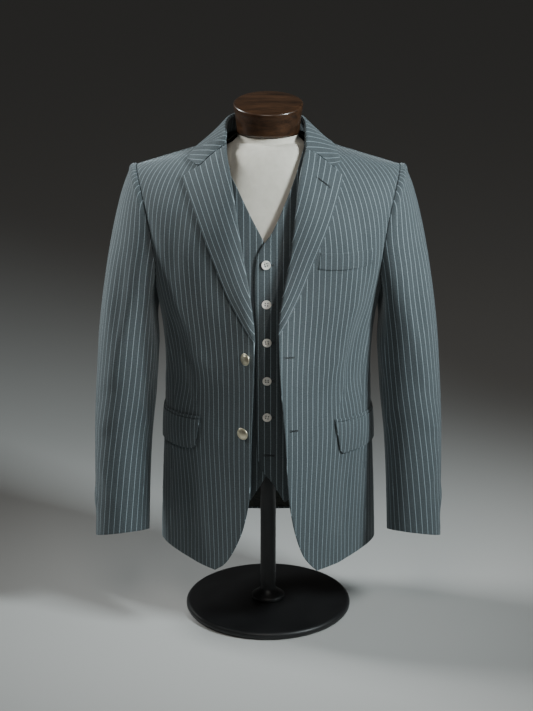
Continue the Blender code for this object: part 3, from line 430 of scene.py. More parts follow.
def run_along(line, stretch=1.0):
    """The length run so far at each point of a line."""
    return np.concatenate([[0], np.cumsum(stretch * np.linalg.norm(np.diff(line, axis=0), axis=-1))])


def read_off(at, keys, rows):
    """Rows of numbers, read in straight steps at any value of their keys."""
    return np.stack([np.interp(at, keys, column) for column in rows.T], -1)


def spaced(line, run, count, spread):
    wanted = run[-1] * (1 - (1 - np.linspace(0, 1, count)) ** spread)
    return read_off(wanted, run, line)


def through(points, count, spread=1.0):
    """Points along a smooth curve through the given ones, evenly spaced, or closer together at its end."""
    points = np.asarray(points, float)
    at = run_along(points)
    fine = np.linspace(0, at[-1], 300)
    line = np.stack([smooth(at, column, fine) for column in points.T], -1)
    return spaced(line, run_along(line), count, spread)


def eased(t):
    return t * t * (3 - 2 * t)


def ramp(value, start, end):
    """How far a value is from a start to an end, from 0 to 1."""
    return np.clip((value - start) / (end - start), 0, 1)


OUTWARD_STEP = 0.004


def outward(torso, angle, level):
    """The direction straight out of a torso, also where its front and back meet in the ridge."""
    step = OUTWARD_STEP

    def over(angle, level):
        beyond = level > 1
        flipped = np.where(beyond, np.sign(angle) * math.pi - angle, angle)
        return torso.place(flipped, np.where(beyond, 2 - level, level))

    around = over(angle + step, level) - over(angle - step, level)
    up = over(angle, level + step) - over(angle, level - step)
    return unit(np.cross(around, up))


def patch(bottom, top, left, right):
    """The grid of points spanned between four edges whose ends meet."""
    s = np.linspace(0, 1, len(bottom))[None, :, None]
    t = np.linspace(0, 1, len(left))[:, None, None]
    bottom, top, left, right = bottom[None], top[None], left[:, None], right[:, None]
    low = (1 - s) * bottom[:, :1] + s * bottom[:, -1:]
    high = (1 - s) * top[:, :1] + s * top[:, -1:]
    return (1 - t) * (bottom - low) + t * (top - high) + (1 - s) * left + s * right


def spanned(bottom, top, left, right, columns, rows, crowd=1.0):
    """The grid of points spanned between four smooth edges, each given by a few points."""
    bottom, top = through(bottom, columns), through(top, columns)
    return patch(bottom, top, through(left, rows, crowd), through(right, rows, crowd))


def spots(torso, side, *places):
    """(angle, level) of places given by (x, height) on the front or the back."""
    return [tuple(torso.locate(x, height, side)) for x, height in places]


def ring_point(degrees, height, torso):
    """(angle, level) of a place given by its angle round the body and its height."""
    angle = math.radians(degrees)
    level = height / SHOULDER_HEIGHT
    for _ in range(SETTLE_STEPS):
        level = level * height / torso.place(angle, level)[2]
    return angle, level


def seam(torso, *places):
    return [ring_point(degrees, height, torso) for degrees, height in places]


def shoulder(torso, side, start, end, count):
    """The (angle, level) points of a shoulder seam between two distances from the middle."""
    x = np.linspace(start, end, count)
    points = torso.locate(x, torso.ridge_height(x) * (1 - 1e-9), side)
    points[:, 1] = 1
    return points


def flip(grid):
    """The same grid on the wearer's other side, still running left to right."""
    grid = grid[:, ::-1].copy()
    grid[..., 0] *= -1
    return grid


def sided(grid, side):
    return grid if side > 0 else flip(grid)


SATIN_CLOTH, SATIN_LIFT = 0.0014, 0.0010
SATIN_GRID = 40, 110, 1.6
VEST_LIFT = 0.0060
VEST_OVERLAP = 0.0032
VEST_SIDE = ((92, 0.3250), (92, 0.4500), (92, 0.5900))
VEST_BACK_HEM = ((92, 0.3250), (130, 0.3200), (180, 0.3150))
VEST_SHOULDER = 0.1500
FOLD_FADE, FOLD_END, FOLD_TIP = 0.25, 0.35, 1.4


def between(grid, a, b):
    """A grid of numbers, read between its points."""
    i, j = a.astype(int), b.astype(int)
    a, b = a - i, b - j
    low = grid[i, j] * (1 - a) + grid[i + 1, j] * a
    high = grid[i, j + 1] * (1 - a) + grid[i + 1, j + 1] * a
    return low * (1 - b) + high * b


class Chart:
    """Lengths along a torso's surface, in metres: round it from the middle of the front, and up it."""

    def __init__(self, torso, low=0.10, angles=181, levels=160):
        self.low, self.angles, self.levels = low, angles, levels
        points = torso.place(np.linspace(0, math.pi, angles)[:, None], np.linspace(low, 1, levels))
        self.round, self.up = np.zeros((2, angles, levels))
        self.round[1:] = np.cumsum(np.linalg.norm(np.diff(points, axis=0), axis=-1), axis=0)
        self.up[:, 1:] = np.cumsum(np.linalg.norm(np.diff(points, axis=1), axis=-1), axis=1)

    def read(self, angle, level):
        """Signed length round the body (the wearer's left is positive), and length up it."""
        angle = (np.asarray(angle) + math.pi) % (2 * math.pi) - math.pi
        a = np.clip(np.abs(angle) / math.pi * (self.angles - 1), 0, self.angles - 1.001)
        b = np.clip((level - self.low) / (1 - self.low) * (self.levels - 1), 0, self.levels - 1.001)
        return between(self.round, a, b) * np.where(angle < 0, -1, 1), between(self.up, a, b)

    def lay(self, grid):
        """Where a grid of (angle, level) lies on the flat cloth."""
        return np.stack(self.read(grid[..., 0], grid[..., 1]), -1)


def folds(rows, across, height):
    """How far soft folds lift the cloth: each runs between two places, with its own width and depth."""
    lift = np.zeros(np.broadcast(across, height).shape)
    for a0, h0, a1, h1, width, depth in rows:
        run, rise = a1 - a0, h1 - h0
        length = math.hypot(run, rise)
        t = ((across - a0) * run + (height - h0) * rise) / length**2
        off = ((across - a0) * rise - (height - h0) * run) / length
        inside = np.clip(t, 0, 1)
        beyond = (t - inside) * length
        fade = FOLD_END + (1 - FOLD_END) * eased(ramp(np.minimum(inside, 1 - inside), 0, FOLD_FADE))
        lift += depth * fade * np.exp(-(off**2) / width**2 - beyond**2 / (width * FOLD_TIP) ** 2)
    return lift


def drape(torso, grid, lift=0.0):
    """Points and outward directions for a grid of (angle, level) on the folded torso, moved out by lift."""
    angle, level = grid[..., 0], grid[..., 1]
    out = outward(torso, angle, level)
    points = torso.place(angle, level)
    across, _ = torso.chart.read(angle, level)
    lifted = folds(torso.folds, across, points[..., 2]) + np.asarray(lift)
    return points + out * lifted[..., None], out


RAW = (0.0004,) * 4
EDGES = (0, 1), (np.s_[:, -1], np.s_[:, -2]), (-1, -2), (np.s_[:, 0], np.s_[:, 1])
EDGE_TURNS = np.radians((40, 90, 140))


def shell(name, seen, under, lay, finish, rims):
    """A closed wall of cloth between two grids of points, with rounded edges of the given depths (below,
    right, above, left). lay is each point's place on the flat cloth, kept as its UV map."""
    rows, columns = seen.shape[:2]
    away = np.zeros(seen.shape)
    for (edge, inside), depth in zip(EDGES, rims):
        away[edge] += unit(seen[edge] - seen[inside]) * depth
    seen, under = seen - away, under - away
    ids = np.arange(rows * columns).reshape(rows, columns)
    border = np.concatenate([ids[0, :-1], ids[:-1, -1], ids[-1, :0:-1], ids[:0:-1, 0]])
    flat_seen, flat_under, flat_away = (grid.reshape(-1, 3) for grid in (seen, under, away))
    ring_ids = [border]
    points = [flat_seen, flat_under]
    for turn in EDGE_TURNS:
        share = (1 - math.cos(turn)) / 2
        ring_ids.append(np.arange(len(border)) + sum(len(p) for p in points))
        middle = flat_seen[border] * (1 - share) + flat_under[border] * share
        points.append(middle + flat_away[border] * math.sin(turn))
    ring_ids.append(border + rows * columns)
    quads = np.stack([ids[:-1, :-1], ids[:-1, 1:], ids[1:, 1:], ids[1:, :-1]], -1).reshape(-1, 4)
    faces = [quads, quads[:, ::-1] + rows * columns]
    for front, back in zip(ring_ids, ring_ids[1:]):
        faces.append(np.stack([back, np.roll(back, -1), np.roll(front, -1), front], -1))
    mesh = bpy.data.meshes.new(name)
    mesh.from_pydata(np.concatenate(points).tolist(), [], np.concatenate(faces).tolist())
    flat_lay = lay.reshape(-1, 2)
    lay_all = np.concatenate([flat_lay, flat_lay] + [flat_lay[border]] * len(EDGE_TURNS))
    uv = mesh.uv_layers.new(name="cloth")
    corner = np.empty(len(mesh.loops), dtype=np.int32)
    mesh.loops.foreach_get("vertex_index", corner)
    uv.data.foreach_set("uv", lay_all[corner].astype(np.float32).ravel())
    mesh.materials.append(finish)
    return bpy.data.objects.new(name, mesh)


CLOTHS = {}


def cloth_piece(name, node_name, slot, seen, under, lay, rims=RAW):
    """A cut piece of cloth: its shell, and its place in the frame."""
    obj = shell(name, seen, under, lay, CLOTHS[slot], rims)
    place_piece(obj, node_name)
    return obj


def satin():
    """Dark olive lining satin with a small woven scroll figure, tone on tone."""
    made, tree, shader = new_material(
        "dark_lining_satin", Roughness=0.42, Sheen_Weight=0.1, Anisotropic=0.4, Specular_IOR_Level=0.4
    )
    lay = node(tree, "ShaderNodeUVMap", uv_map="cloth").outputs[0]
    bent = {0: noise(tree, lay, 38.0, 1.0, "Color"), 1: (0.03, 0.03, 0.0), 2: lay}
    moved = node(tree, "ShaderNodeVectorMath", bent, operation="MULTIPLY_ADD").outputs[0]
    cells = node(tree, "ShaderNodeTexVoronoi", {"Vector": moved, "Scale": 95.0, "Randomness": 0.75})
    scrolls = maths(tree, "SINE", times(tree, cells.outputs["Distance"], 15.0))
    figure = maths(tree, "GREATER_THAN", scrolls, 0.35)
    toned(tree, shader, figure, (0.0090, 0.0095, 0.0070), (0.030, 0.030, 0.020), (0.2, 0.36))
    bump(tree, shader, woven(tree, lay, "XY", 0.0005)["Height"], 0.0002, 0.2)
    return made


CLOTHS["lining"] = satin()
FORM.chart, FORM.folds = Chart(FORM), ()
top = shoulder(FORM, 1, 0.0, VEST_SHOULDER, 9)[::-1].tolist()
arm = spots(FORM, 1, (0.1480, 0.6400), (0.1420, 0.7200), (0.1440, 0.7800))
centre = [(math.pi, height / FORM.ridge_height(0)) for height in (0.3150, 0.600, 0.864)]
side = seam(FORM, *VEST_SIDE) + arm + top[:1]
half = spanned(seam(FORM, *VEST_BACK_HEM), top, side, centre, *SATIN_GRID)
grid = np.concatenate([half, (flip(half) + (2 * math.pi, 0))[:, 1:]], 1)
points, out = drape(FORM, grid, VEST_LIFT + SATIN_LIFT)
under, lay = points - out * SATIN_CLOTH, FORM.chart.lay(grid)
cloth_piece("waistcoat_satin_back", "waistcoat_back", "lining", points, under, lay)

# The waistcoat's fronts: the suit's pinstripe wool, cut to a deep V and two points. The left front laps over
# the right along the buttons, and both edges are turned in and pressed.

VEST_FRONT = {
    1: (
        (0.0270, 0.2517), (0.0040, 0.2920), (-0.0176, 0.3340), (-0.0195, 0.4500), (-0.0198, 0.5491),
        (-0.0203, 0.6858),
    ),
    -1: (
        (-0.0300, 0.2535), (-0.0060, 0.2960), (0.0125, 0.3400), (0.0130, 0.4500), (0.0130, 0.5491),
        (0.0130, 0.6650),
    ),
}
VEST_NECKLINE = {
    1: ((0.0000, 0.7250), (0.0208, 0.7649), (0.0400, 0.8130), (0.0557, 0.8585)),
    -1: ((-0.0071, 0.7178), (-0.0290, 0.7600), (-0.0480, 0.7990), (-0.0646, 0.8349)),
}
VEST_HEM = ((30, 0.2850), (60, 0.3080), (92, 0.3250))
VEST_ARMHOLE = ((0.1500, 0.6300), (0.1360, 0.7000), (0.1380, 0.7700))
VEST_NECK = 0.068
VEST_CLOTH = 0.0017
VEST_GRID = 58, 170, 1.5
VEST_RIMS = {1: (0.0007, 0.0004, 0.0003, 0.0007), -1: (0.0007, 0.0007, 0.0003, 0.0004)}
LAP_START, LAP_FULL = np.radians(26), np.radians(8)
SIDES = (1, "left"), (-1, "right")
STRIPE_PITCH, STRIPE_WIDTH, STRIPE_BLUR = 0.0103, 0.0009, 0.0003
YARNS = (
    ("Dark yarn", "Color", (0.0385, 0.049, 0.0542, 1)),
    ("Light yarn", "Color", (0.104, 0.125, 0.1345, 1)),
    ("Stripe yarn", "Color", (0.36, 0.44, 0.485, 1)),
)


def pinstripe_group():
    """Worsted twill with a pale stripe woven in, from a place on the cloth in metres."""
    group, given, result = node_group(
        "pinstripe",
        (("Place", "Vector"), ("Pitch", "Float", STRIPE_PITCH), ("Stripe", "Float", STRIPE_WIDTH), *YARNS),
        (("Color", "Color"), ("Roughness", "Float"), ("Height", "Float")),
    )
    place = given["Place"]
    across = node(group, "ShaderNodeSeparateXYZ", {0: place}).outputs[0]
    step = maths(group, "FRACT", maths(group, "DIVIDE", across, given["Pitch"]))
    off = times(group, maths(group, "ABSOLUTE", maths(group, "SUBTRACT", step, 0.5)), given["Pitch"])
    edge = maths(group, "SUBTRACT", times(group, given["Stripe"], 0.5), off)
    soft = {"Value": edge, "From Min": -STRIPE_BLUR, "From Max": STRIPE_BLUR}
    stripe = node(group, "ShaderNodeMapRange", soft).outputs[0]
    weave = woven(group, place, "XY", 0.0010, 1.0)
    grains = (1500.0, 2.0), (420.0, 2.0), (13.0, 3.0)
    fine, flecks, cloudy = (noise(group, place, *grain) for grain in grains)
    yarns = noise(group, stretched(group, place, (1100.0, 60.0, 1.0)), 1.0, 3.0)
    tone = scaled(group, weave["Over"], 0.40, -0.68)
    for layer, share in ((fine, 0.25), (flecks, 1.0), (yarns, 0.45), (cloudy, 0.25)):
        tone = scaled(group, layer, share, tone)
    ground = mixed(group, tone, given["Dark yarn"], given["Light yarn"])
    dashes = times(group, scaled(group, weave["Over"], 0.35, 0.65), scaled(group, flecks, 1.2, 0.4))
    colour = mixed(group, times(group, stripe, dashes), ground, given["Stripe yarn"])
    rough = scaled(group, fine, 0.15, 0.74)
    height = scaled(group, stripe, 0.5, scaled(group, fine, 0.5, weave["Height"]))
    for value, socket in zip((colour, rough, height), result.inputs):
        group.links.new(value, socket)
    return group


def wool():
    made, tree, shader = new_material(
        "slate_pinstripe_wool",
        Sheen_Weight=0.35, Sheen_Roughness=0.45, Sheen_Tint=(0.75, 0.85, 0.90, 1), Specular_IOR_Level=0.25,
    )
    lay = node(tree, "ShaderNodeUVMap", uv_map="cloth").outputs[0]
    cloth = node(tree, "ShaderNodeGroup", {"Place": lay}, node_tree=pinstripe_group()).outputs
    tree.links.new(cloth["Color"], shader.inputs["Base Color"])
    tree.links.new(cloth["Roughness"], shader.inputs["Roughness"])
    bump(tree, shader, cloth["Height"], 0.0003, 0.3)
    return made


CLOTHS["wool"] = wool()
FORM.folds = (
    (0.075, 0.330, 0.110, 0.460, 0.012, 0.0015),
    (-0.070, 0.335, -0.115, 0.450, 0.013, 0.0014),
)
VEST_STRIPE_START = {1: 0.0012, -1: 0.0040}
for side, word in SIDES:
    top = shoulder(FORM, -1, VEST_NECK, VEST_SHOULDER, 9).tolist()
    arm = spots(FORM, -1, *VEST_ARMHOLE)
    edge = [(x * side, height) for x, height in (*VEST_FRONT[side], *VEST_NECKLINE[side])]
    edge = spots(FORM, -1, *edge) + top[:1]
    hem, side_edge = edge[:1] + seam(FORM, *VEST_HEM), seam(FORM, *VEST_SIDE) + arm + top[-1:]
    vest = spanned(hem, top, edge, side_edge, *VEST_GRID)
    overlap = VEST_OVERLAP * eased(ramp(vest[..., 0], LAP_START, LAP_FULL)) if side > 0 else 0
    grid = sided(vest, side)
    points, out = drape(FORM, grid, VEST_LIFT + overlap)
    cloth_piece(
        f"waistcoat_wool_front_{word}", f"waistcoat_front_{word}", "wool", points, points - out * VEST_CLOTH,
        FORM.chart.lay(grid) + (VEST_STRIPE_START[side], 0), VEST_RIMS[side],
    )

# The jacket's backs: two panels of the pinstripe wool, joined by a seam down the middle of the back, with the
# dark satin lining inside them. The lining is hemmed short of the wool's turned-up hem.

NECK_HALF = 0.078
SHOULDER_HALF = 0.2237
CLOTH = 0.0022
CLEAR = 0.0004
JACKET = Torso(
    Table(
        "height half_width front back",
        (0.100, 0.1940, 0.196, 0.130), (0.200, 0.1912, 0.194, 0.135), (0.300, 0.1868, 0.178, 0.135),
        (0.350, 0.1840, 0.163, 0.127), (0.410, 0.1812, 0.148, 0.115), (0.470, 0.1795, 0.142, 0.110),
        (0.540, 0.1835, 0.142, 0.116), (0.600, 0.1925, 0.144, 0.126), (0.660, 0.2060, 0.145, 0.134),
        (0.720, 0.2210, 0.144, 0.138), (0.780, 0.2360, 0.143, 0.138), (0.840, 0.2490, 0.142, 0.134),
        (0.900, 0.2600, 0.140, 0.128),
    ),
    Table(
        "height roundness flare",
        (0.100, 1.22, 0.000), (0.200, 1.25, 0.000), (0.300, 1.38, 0.004), (0.380, 1.68, 0.016),
        (0.480, 1.90, 0.024), (0.550, 2.15, 0.020), (0.620, 2.45, 0.009), (0.700, 2.65, 0.000),
        (0.900, 2.65, 0.000),
    ),
    Table(
        "x height depth",
        (0.000, 0.869, 0.010), (0.060, 0.869, 0.010), (0.078, 0.866, 0.010), (0.105, 0.8555, 0.010),
        (0.150, 0.8415, 0.010), (0.2237, 0.8200, 0.010), (0.270, 0.8060, 0.010),
    ),
    neck_half=NECK_HALF, neck={-1: 0.080, 1: 0.066}, neck_curve={-1: 1.3, 1: 2.0}, drop={-1: 0.16, 1: 0.13},
)


def along(torso, places, count, spread=1.0):
    """(angle, level) points, evenly spaced on the torso, along the smooth line through the given places."""
    line = through(places, 400, 2.0)
    return spaced(line, run_along(torso.place(*line.T)), count, spread)


UNDERARM = {-1: ((90, 0.6050), (75, 0.6270)), 1: ((90, 0.6050), (114, 0.6330))}
ARMHOLE_SIDES = {
    -1: (
        (0.1895, 0.655), (0.1925, 0.690), (0.1980, 0.724), (0.2050, 0.756), (0.2130, 0.786), (0.2185, 0.8035),
        (0.2222, 0.8150),
    ),
    1: (
        (0.1940, 0.670), (0.1985, 0.705), (0.2045, 0.745), (0.2120, 0.780), (0.2180, 0.802), (0.2220, 0.8150),
    ),
}
ARM_TURNS = np.arange(181)


def armhole(side):
    """(angle, level) every degree round half of the armhole seam, from the shoulder down to the underarm."""
    line = seam(JACKET, *UNDERARM[side]) + spots(JACKET, side, *ARMHOLE_SIDES[side])
    line += shoulder(JACKET, side, SHOULDER_HALF, SHOULDER_HALF, 1).tolist()
    return along(JACKET, line, len(ARM_TURNS))[::-1]


ARMHOLE = {side: armhole(side) for side in (-1, 1)}
BACK_SEAM = ((116, 0.1370), (114, 0.280), (112, 0.400), (113, 0.520))
HEM_BACK = ((116, 0.1370), (150, 0.1350), (180, 0.1335))
LINING_CLOTH = 0.0010
LINING_RISE, LINING_RISE_FADE = 0.0040, 6
SEAM_TURN, SEAM_ROWS, UPPER_ROWS, BACK_COLUMNS = 142, 130, 92, 60
JACKET.chart = Chart(JACKET)
JACKET_FOLDS = (
    # round the body, height, to round the body, height, width, depth
    (0.165, 0.640, 0.120, 0.470, 0.013, 0.0026),
    (0.190, 0.600, 0.150, 0.450, 0.012, -0.0022),
    (0.150, 0.780, 0.175, 0.640, 0.016, -0.0024),
    (0.075, 0.470, 0.150, 0.520, 0.011, 0.0012),
    (0.070, 0.380, 0.130, 0.430, 0.013, -0.0010),
    (0.120, 0.150, 0.135, 0.330, 0.018, 0.0016),
    (0.175, 0.160, 0.170, 0.300, 0.016, -0.0018),
    (0.240, 0.420, 0.210, 0.560, 0.014, 0.0022),
    (0.300, 0.440, 0.270, 0.590, 0.015, -0.0020),
    (0.330, 0.640, 0.300, 0.480, 0.014, 0.0026),
    (0.370, 0.760, 0.325, 0.560, 0.018, -0.0024),
    (0.440, 0.450, 0.330, 0.490, 0.012, 0.0016),
    (0.430, 0.500, 0.340, 0.545, 0.012, -0.0012),
    (0.380, 0.160, 0.370, 0.340, 0.022, 0.0020),
    (0.300, 0.170, 0.310, 0.320, 0.018, -0.0016),
)
RIGHT_FOLD_CHANGE = (-1.02, 1, -0.98, 1, 1.1, 1.15)
RIGHT_FOLD_SHIFT = (0, -0.008, 0, 0.006, 0, 0)
JACKET.folds = np.concatenate([JACKET_FOLDS, np.multiply(JACKET_FOLDS, RIGHT_FOLD_CHANGE) + RIGHT_FOLD_SHIFT])


def arm_line(side, start, end, count):
    """Places along the armhole seam between two turns: 0 at the shoulder, 180 at the underarm."""
    return read_off(np.linspace(start, end, count), ARM_TURNS, ARMHOLE[side])


def seam_line(places, side):
    """A seam of the jacket from its hem up to the armhole's front (side -1) or back (side 1)."""
    top = arm_line(side, SEAM_TURN, SEAM_TURN, 1)[0]
    return along(JACKET, [*seam(JACKET, *places), top], SEAM_ROWS)


def wool_panel(name, node_name, draped, lay, rims=(0.0009, 0.0004, 0.0004, 0.0004)):
    """One of the jacket's hanging panels, hemmed below."""
    points, out = draped
    cloth_piece(name, node_name, "wool", points, points - out * CLOTH, lay, rims)


def from_line(grid, angle):
    """Lengths round the jacket from a line up it at an angle, and lengths up it."""
    across, up = JACKET.chart.read(grid[..., 0], grid[..., 1])
    line, _ = JACKET.chart.read(np.full(across.shape, angle), grid[..., 1])
    return np.abs(across) - np.abs(line), up


CENTRE_SHAPE = Table(
    "height take_in", (0.10, 0.000), (0.28, 0.004), (0.45, 0.014), (0.60, 0.008), (0.75, 0.000), (0.90, 0.000)
)
BACK_STRIPE_START = 0.0052
back_seam = seam_line(BACK_SEAM, 1)
centre = [(math.pi, height / JACKET.ridge_height(0)) for height in (0.1335, 0.400, 0.650, 0.869)]
back = patch(
    along(JACKET, seam(JACKET, *HEM_BACK), BACK_COLUMNS),
    along(JACKET, shoulder(JACKET, 1, 0.0, SHOULDER_HALF, 12)[::-1], BACK_COLUMNS),
    np.concatenate([back_seam, arm_line(1, SEAM_TURN, 0, UPPER_ROWS)[1:]]),
    along(JACKET, centre, SEAM_ROWS + UPPER_ROWS - 1, 1.2),
)
inside = back.copy()
rise = LINING_RISE * np.linspace(1, 0, len(inside)) ** LINING_RISE_FADE
inside[:, :, 1] += rise[:, None] / JACKET.ridge_height(0)
inside = inside[:-1:2]
for side, word in SIDES:
    grid = sided(back, side)
    points, out = drape(JACKET, grid)
    across, up = from_line(grid, math.pi)
    take_in = CENTRE_SHAPE.read("take_in", points[..., 2])
    lay = np.stack([take_in - across + BACK_STRIPE_START, up], -1)
    wool_panel(f"jacket_wool_back_{word}", f"jacket_back_{word}", (points, out), lay)

    grid = sided(inside, side)
    points, out = drape(JACKET, grid, -CLOTH - CLEAR)
    under, lay = points - out * LINING_CLOTH, JACKET.chart.lay(grid)
    cloth_piece(f"back_satin_{word}", f"back_lining_{word}", "lining", points, under, lay)

# The jacket's side bodies: one narrow wool panel under each arm, between the front and the back, shaped at
# the waist by its two seams.

SIDE_SEAM = ((64.0, 0.1320), (63.5, 0.2640), (62.5, 0.3930), (65.5, 0.5170))
HEM_SIDE = ((64.0, 0.1320), (90, 0.1365), (116, 0.1370))
side_seam = seam_line(SIDE_SEAM, -1)
underarm = np.concatenate([arm_line(-1, SEAM_TURN, 180, 18), arm_line(1, 180, SEAM_TURN, 18)[1:]])
hem = along(JACKET, seam(JACKET, *HEM_SIDE), len(underarm))
side_body = patch(hem, underarm, side_seam, back_seam)
for side, word in SIDES:
    grid = sided(side_body, side)
    lay = np.stack(from_line(grid, math.pi / 2), -1)
    wool_panel(f"jacket_wool_side_{word}", f"jacket_side_{word}", drape(JACKET, grid), lay)

# The jacket's fronts: pinstripe wool cut away below the buttons into rounded corners, with a dart from the
# chest to the pocket. The edge is faced and pressed, and above the top button it turns back into the lapel.

FRONT_EDGE = {
    1: (
        (0.0692, 0.1506), (0.0596, 0.1691), (0.0445, 0.2209), (0.0355, 0.2778), (0.0287, 0.3853),
        (0.0198, 0.4913), (0.0169, 0.5672),
    ),
    -1: (
        (0.0763, 0.1449), (0.0636, 0.1678), (0.0436, 0.2211), (0.0326, 0.2784), (0.0287, 0.3853),
        (0.0248, 0.4905), (0.0229, 0.5535),
    ),
}
HEM_START = {1: (0.0849, 0.1286), -1: (0.0931, 0.1269)}
HEM_FRONT = ((34.7, 0.1264), (43.6, 0.1284), (55.0, 0.1305), (64.0, 0.1320))
ROLL = {
    1: (
        (0.0169, 0.5672), (0.0260, 0.6278), (0.0387, 0.6960), (0.0487, 0.7784), (0.0545, 0.8226),
        (0.0642, 0.8575),
    ),
    -1: (
        (0.0229, 0.5535), (0.0330, 0.6275), (0.0447, 0.6960), (0.0577, 0.7808), (0.0645, 0.8230),
        (0.0735, 0.8600),
    ),
}


def sided_front(grid, side):
    """(angle, level) on the jacket's front for a grid of (distance from the middle, height)."""
    return JACKET.locate(grid[..., 0] * side, grid[..., 1], -1)


ROLL_ROWS, FRONT_COLUMNS = 96, 66
LOWER_ROWS = SEAM_ROWS + UPPER_ROWS - ROLL_ROWS - 1
FRONT_RIMS = {1: (0.0009, 0.0004, 0.0004, 0.0009), -1: (0.0009, 0.0009, 0.0004, 0.0004)}
DART = Table("height across", (0.402, 0.1370), (0.466, 0.1540), (0.541, 0.1515), (0.609, 0.1510))
SHAPING = Table(
    "height dart side",
    (0.100, 0.0000, 0.0000), (0.300, 0.0000, 0.0010), (0.395, 0.0010, 0.0060), (0.470, 0.0120, 0.0130),
    (0.540, 0.0090, 0.0125), (0.610, 0.0000, 0.0065), (0.700, 0.0000, 0.0005), (0.900, 0.0000, 0.0000),
)
LEAN_REACH, LEAN, LEAN_POWER = 0.230, {1: 0.060, -1: 0.042}, 1.5
FRONT_STRIPE_START = 0.0020
DART_GROOVE, DART_WIDTH, DART_FADE = 0.0008, 0.0022, 0.02
DART_TAKEN, SIDE_TAKEN = (-0.003, 0.007), (0.105, 0.190)


def front_lay(grid, side):
    """Where a grid on the jacket's front lies on the flat cloth: stripes run straight up the front's edge,
    are taken in by the dart and the side seam, and lean towards the neck over the chest."""
    angle, level = grid[..., 0], grid[..., 1]
    height = JACKET.place(angle, level)[..., 2]
    across, up = JACKET.chart.read(angle, level)
    _, top_up = JACKET.chart.read(angle, np.ones(level.shape))
    across = np.abs(across)
    dart = ramp(across - DART.read("across", height), *DART_TAKEN) * SHAPING.read("dart", height)
    side_take = ramp(across, *SIDE_TAKEN) * SHAPING.read("side", height)
    lean = LEAN[side] * ramp(top_up - up, LEAN_REACH, 0) ** LEAN_POWER
    return np.stack([across + dart + side_take + lean + FRONT_STRIPE_START, up], -1)


def dart_groove(grid):
    """How deep the sewn dart sinks into the front."""
    height = JACKET.place(grid[..., 0], grid[..., 1])[..., 2]
    across, _ = JACKET.chart.read(grid[..., 0], grid[..., 1])
    off = np.abs(across) - DART.read("across", height)
    ends = np.clip(np.minimum(height - DART.keys[0], DART.keys[-1] - height) / DART_FADE, 0, 1)
    return -DART_GROOVE * ends * np.exp(-((off / DART_WIDTH) ** 2))


top = shoulder(JACKET, -1, NECK_HALF + 0.001, SHOULDER_HALF, 12)
for side, word in SIDES:
    hem = spots(JACKET, -1, HEM_START[side])
    roll = sided_front(through(ROLL[side], ROLL_ROWS), 1)
    below_roll = along(JACKET, hem + spots(JACKET, -1, *FRONT_EDGE[side]), LOWER_ROWS)
    front = patch(
        along(JACKET, [*hem, *seam(JACKET, *HEM_FRONT)], FRONT_COLUMNS),
        along(JACKET, top, FRONT_COLUMNS),
        np.concatenate([below_roll, roll[1:], top[:1]]),
        np.concatenate([side_seam, arm_line(-1, SEAM_TURN, 0, UPPER_ROWS)[1:]]),
    )
    grid = sided(front, side)
    draped, lay = drape(JACKET, grid, dart_groove(grid)), front_lay(grid, side)
    wool_panel(f"jacket_wool_front_{word}", f"jacket_front_{word}", draped, lay, FRONT_RIMS[side])

# The sleeves: each is two pieces of the pinstripe wool, a wide top sleeve and a narrow under sleeve, set into
# the armhole with a little fullness at the head and bent gently forward below the elbow.

SLEEVE = Table(
    "height centre_x centre_y half_x half_y slant_out slant_front",
    (0.165, 0.2597, -0.0480, 0.0480, 0.0430, -0.0060, 0.0150),
    (0.260, 0.2580, -0.0330, 0.0490, 0.0490, -0.0050, 0.0110),
    (0.340, 0.2556, -0.0200, 0.0510, 0.0550, -0.0030, 0.0050),
    (0.430, 0.2490, -0.0120, 0.0535, 0.0620, 0.0000, 0.0000),
    (0.505, 0.2435, -0.0090, 0.0535, 0.0680, 0.0000, 0.0000),
)
SLEEVE_HEAD = Table(
    "turn out forward up fall",
    (0, 0.080, 0.000, 0.018, 0.330),
    (45, 0.076, 0.020, -0.016, 0.310),
    (90, 0.060, 0.042, -0.070, 0.240),
    (135, 0.036, 0.026, -0.085, 0.140),
    (180, 0.014, 0.000, -0.080, 0.100),
)
BICEPS, CUFF, FALL_STEP = 0.505, 0.165, 0.02
HEAD_CLEAR = np.array((0.0006, 0, 0))


def half_turns(turn):
    """The same turns, between -180 and 180."""
    return (turn + 180) % 360 - 180


def armhole_point(turn):
    """Points on the armhole seam: turn is 0 at the shoulder, 180 at the underarm, negative behind."""
    front, back = (read_off(np.abs(turn), ARM_TURNS, JACKET.place(*ARMHOLE[side].T)) for side in (-1, 1))
    return np.where((turn >= 0)[..., None], front, back)


def sleeve_ring(turn, height):
    """The hanging part of the sleeve: turn is 0 at the outside, 90 at the front, 180 against the body."""
    a = np.radians(turn)
    size = {name: SLEEVE.read(name, height) for name in SLEEVE.columns}
    out, front = np.cos(a), np.sin(a)
    x = size["centre_x"] + size["half_x"] * out
    y = size["centre_y"] - size["half_y"] * front
    return np.stack([x, y, height + size["slant_out"] * out + size["slant_front"] * front], -1)


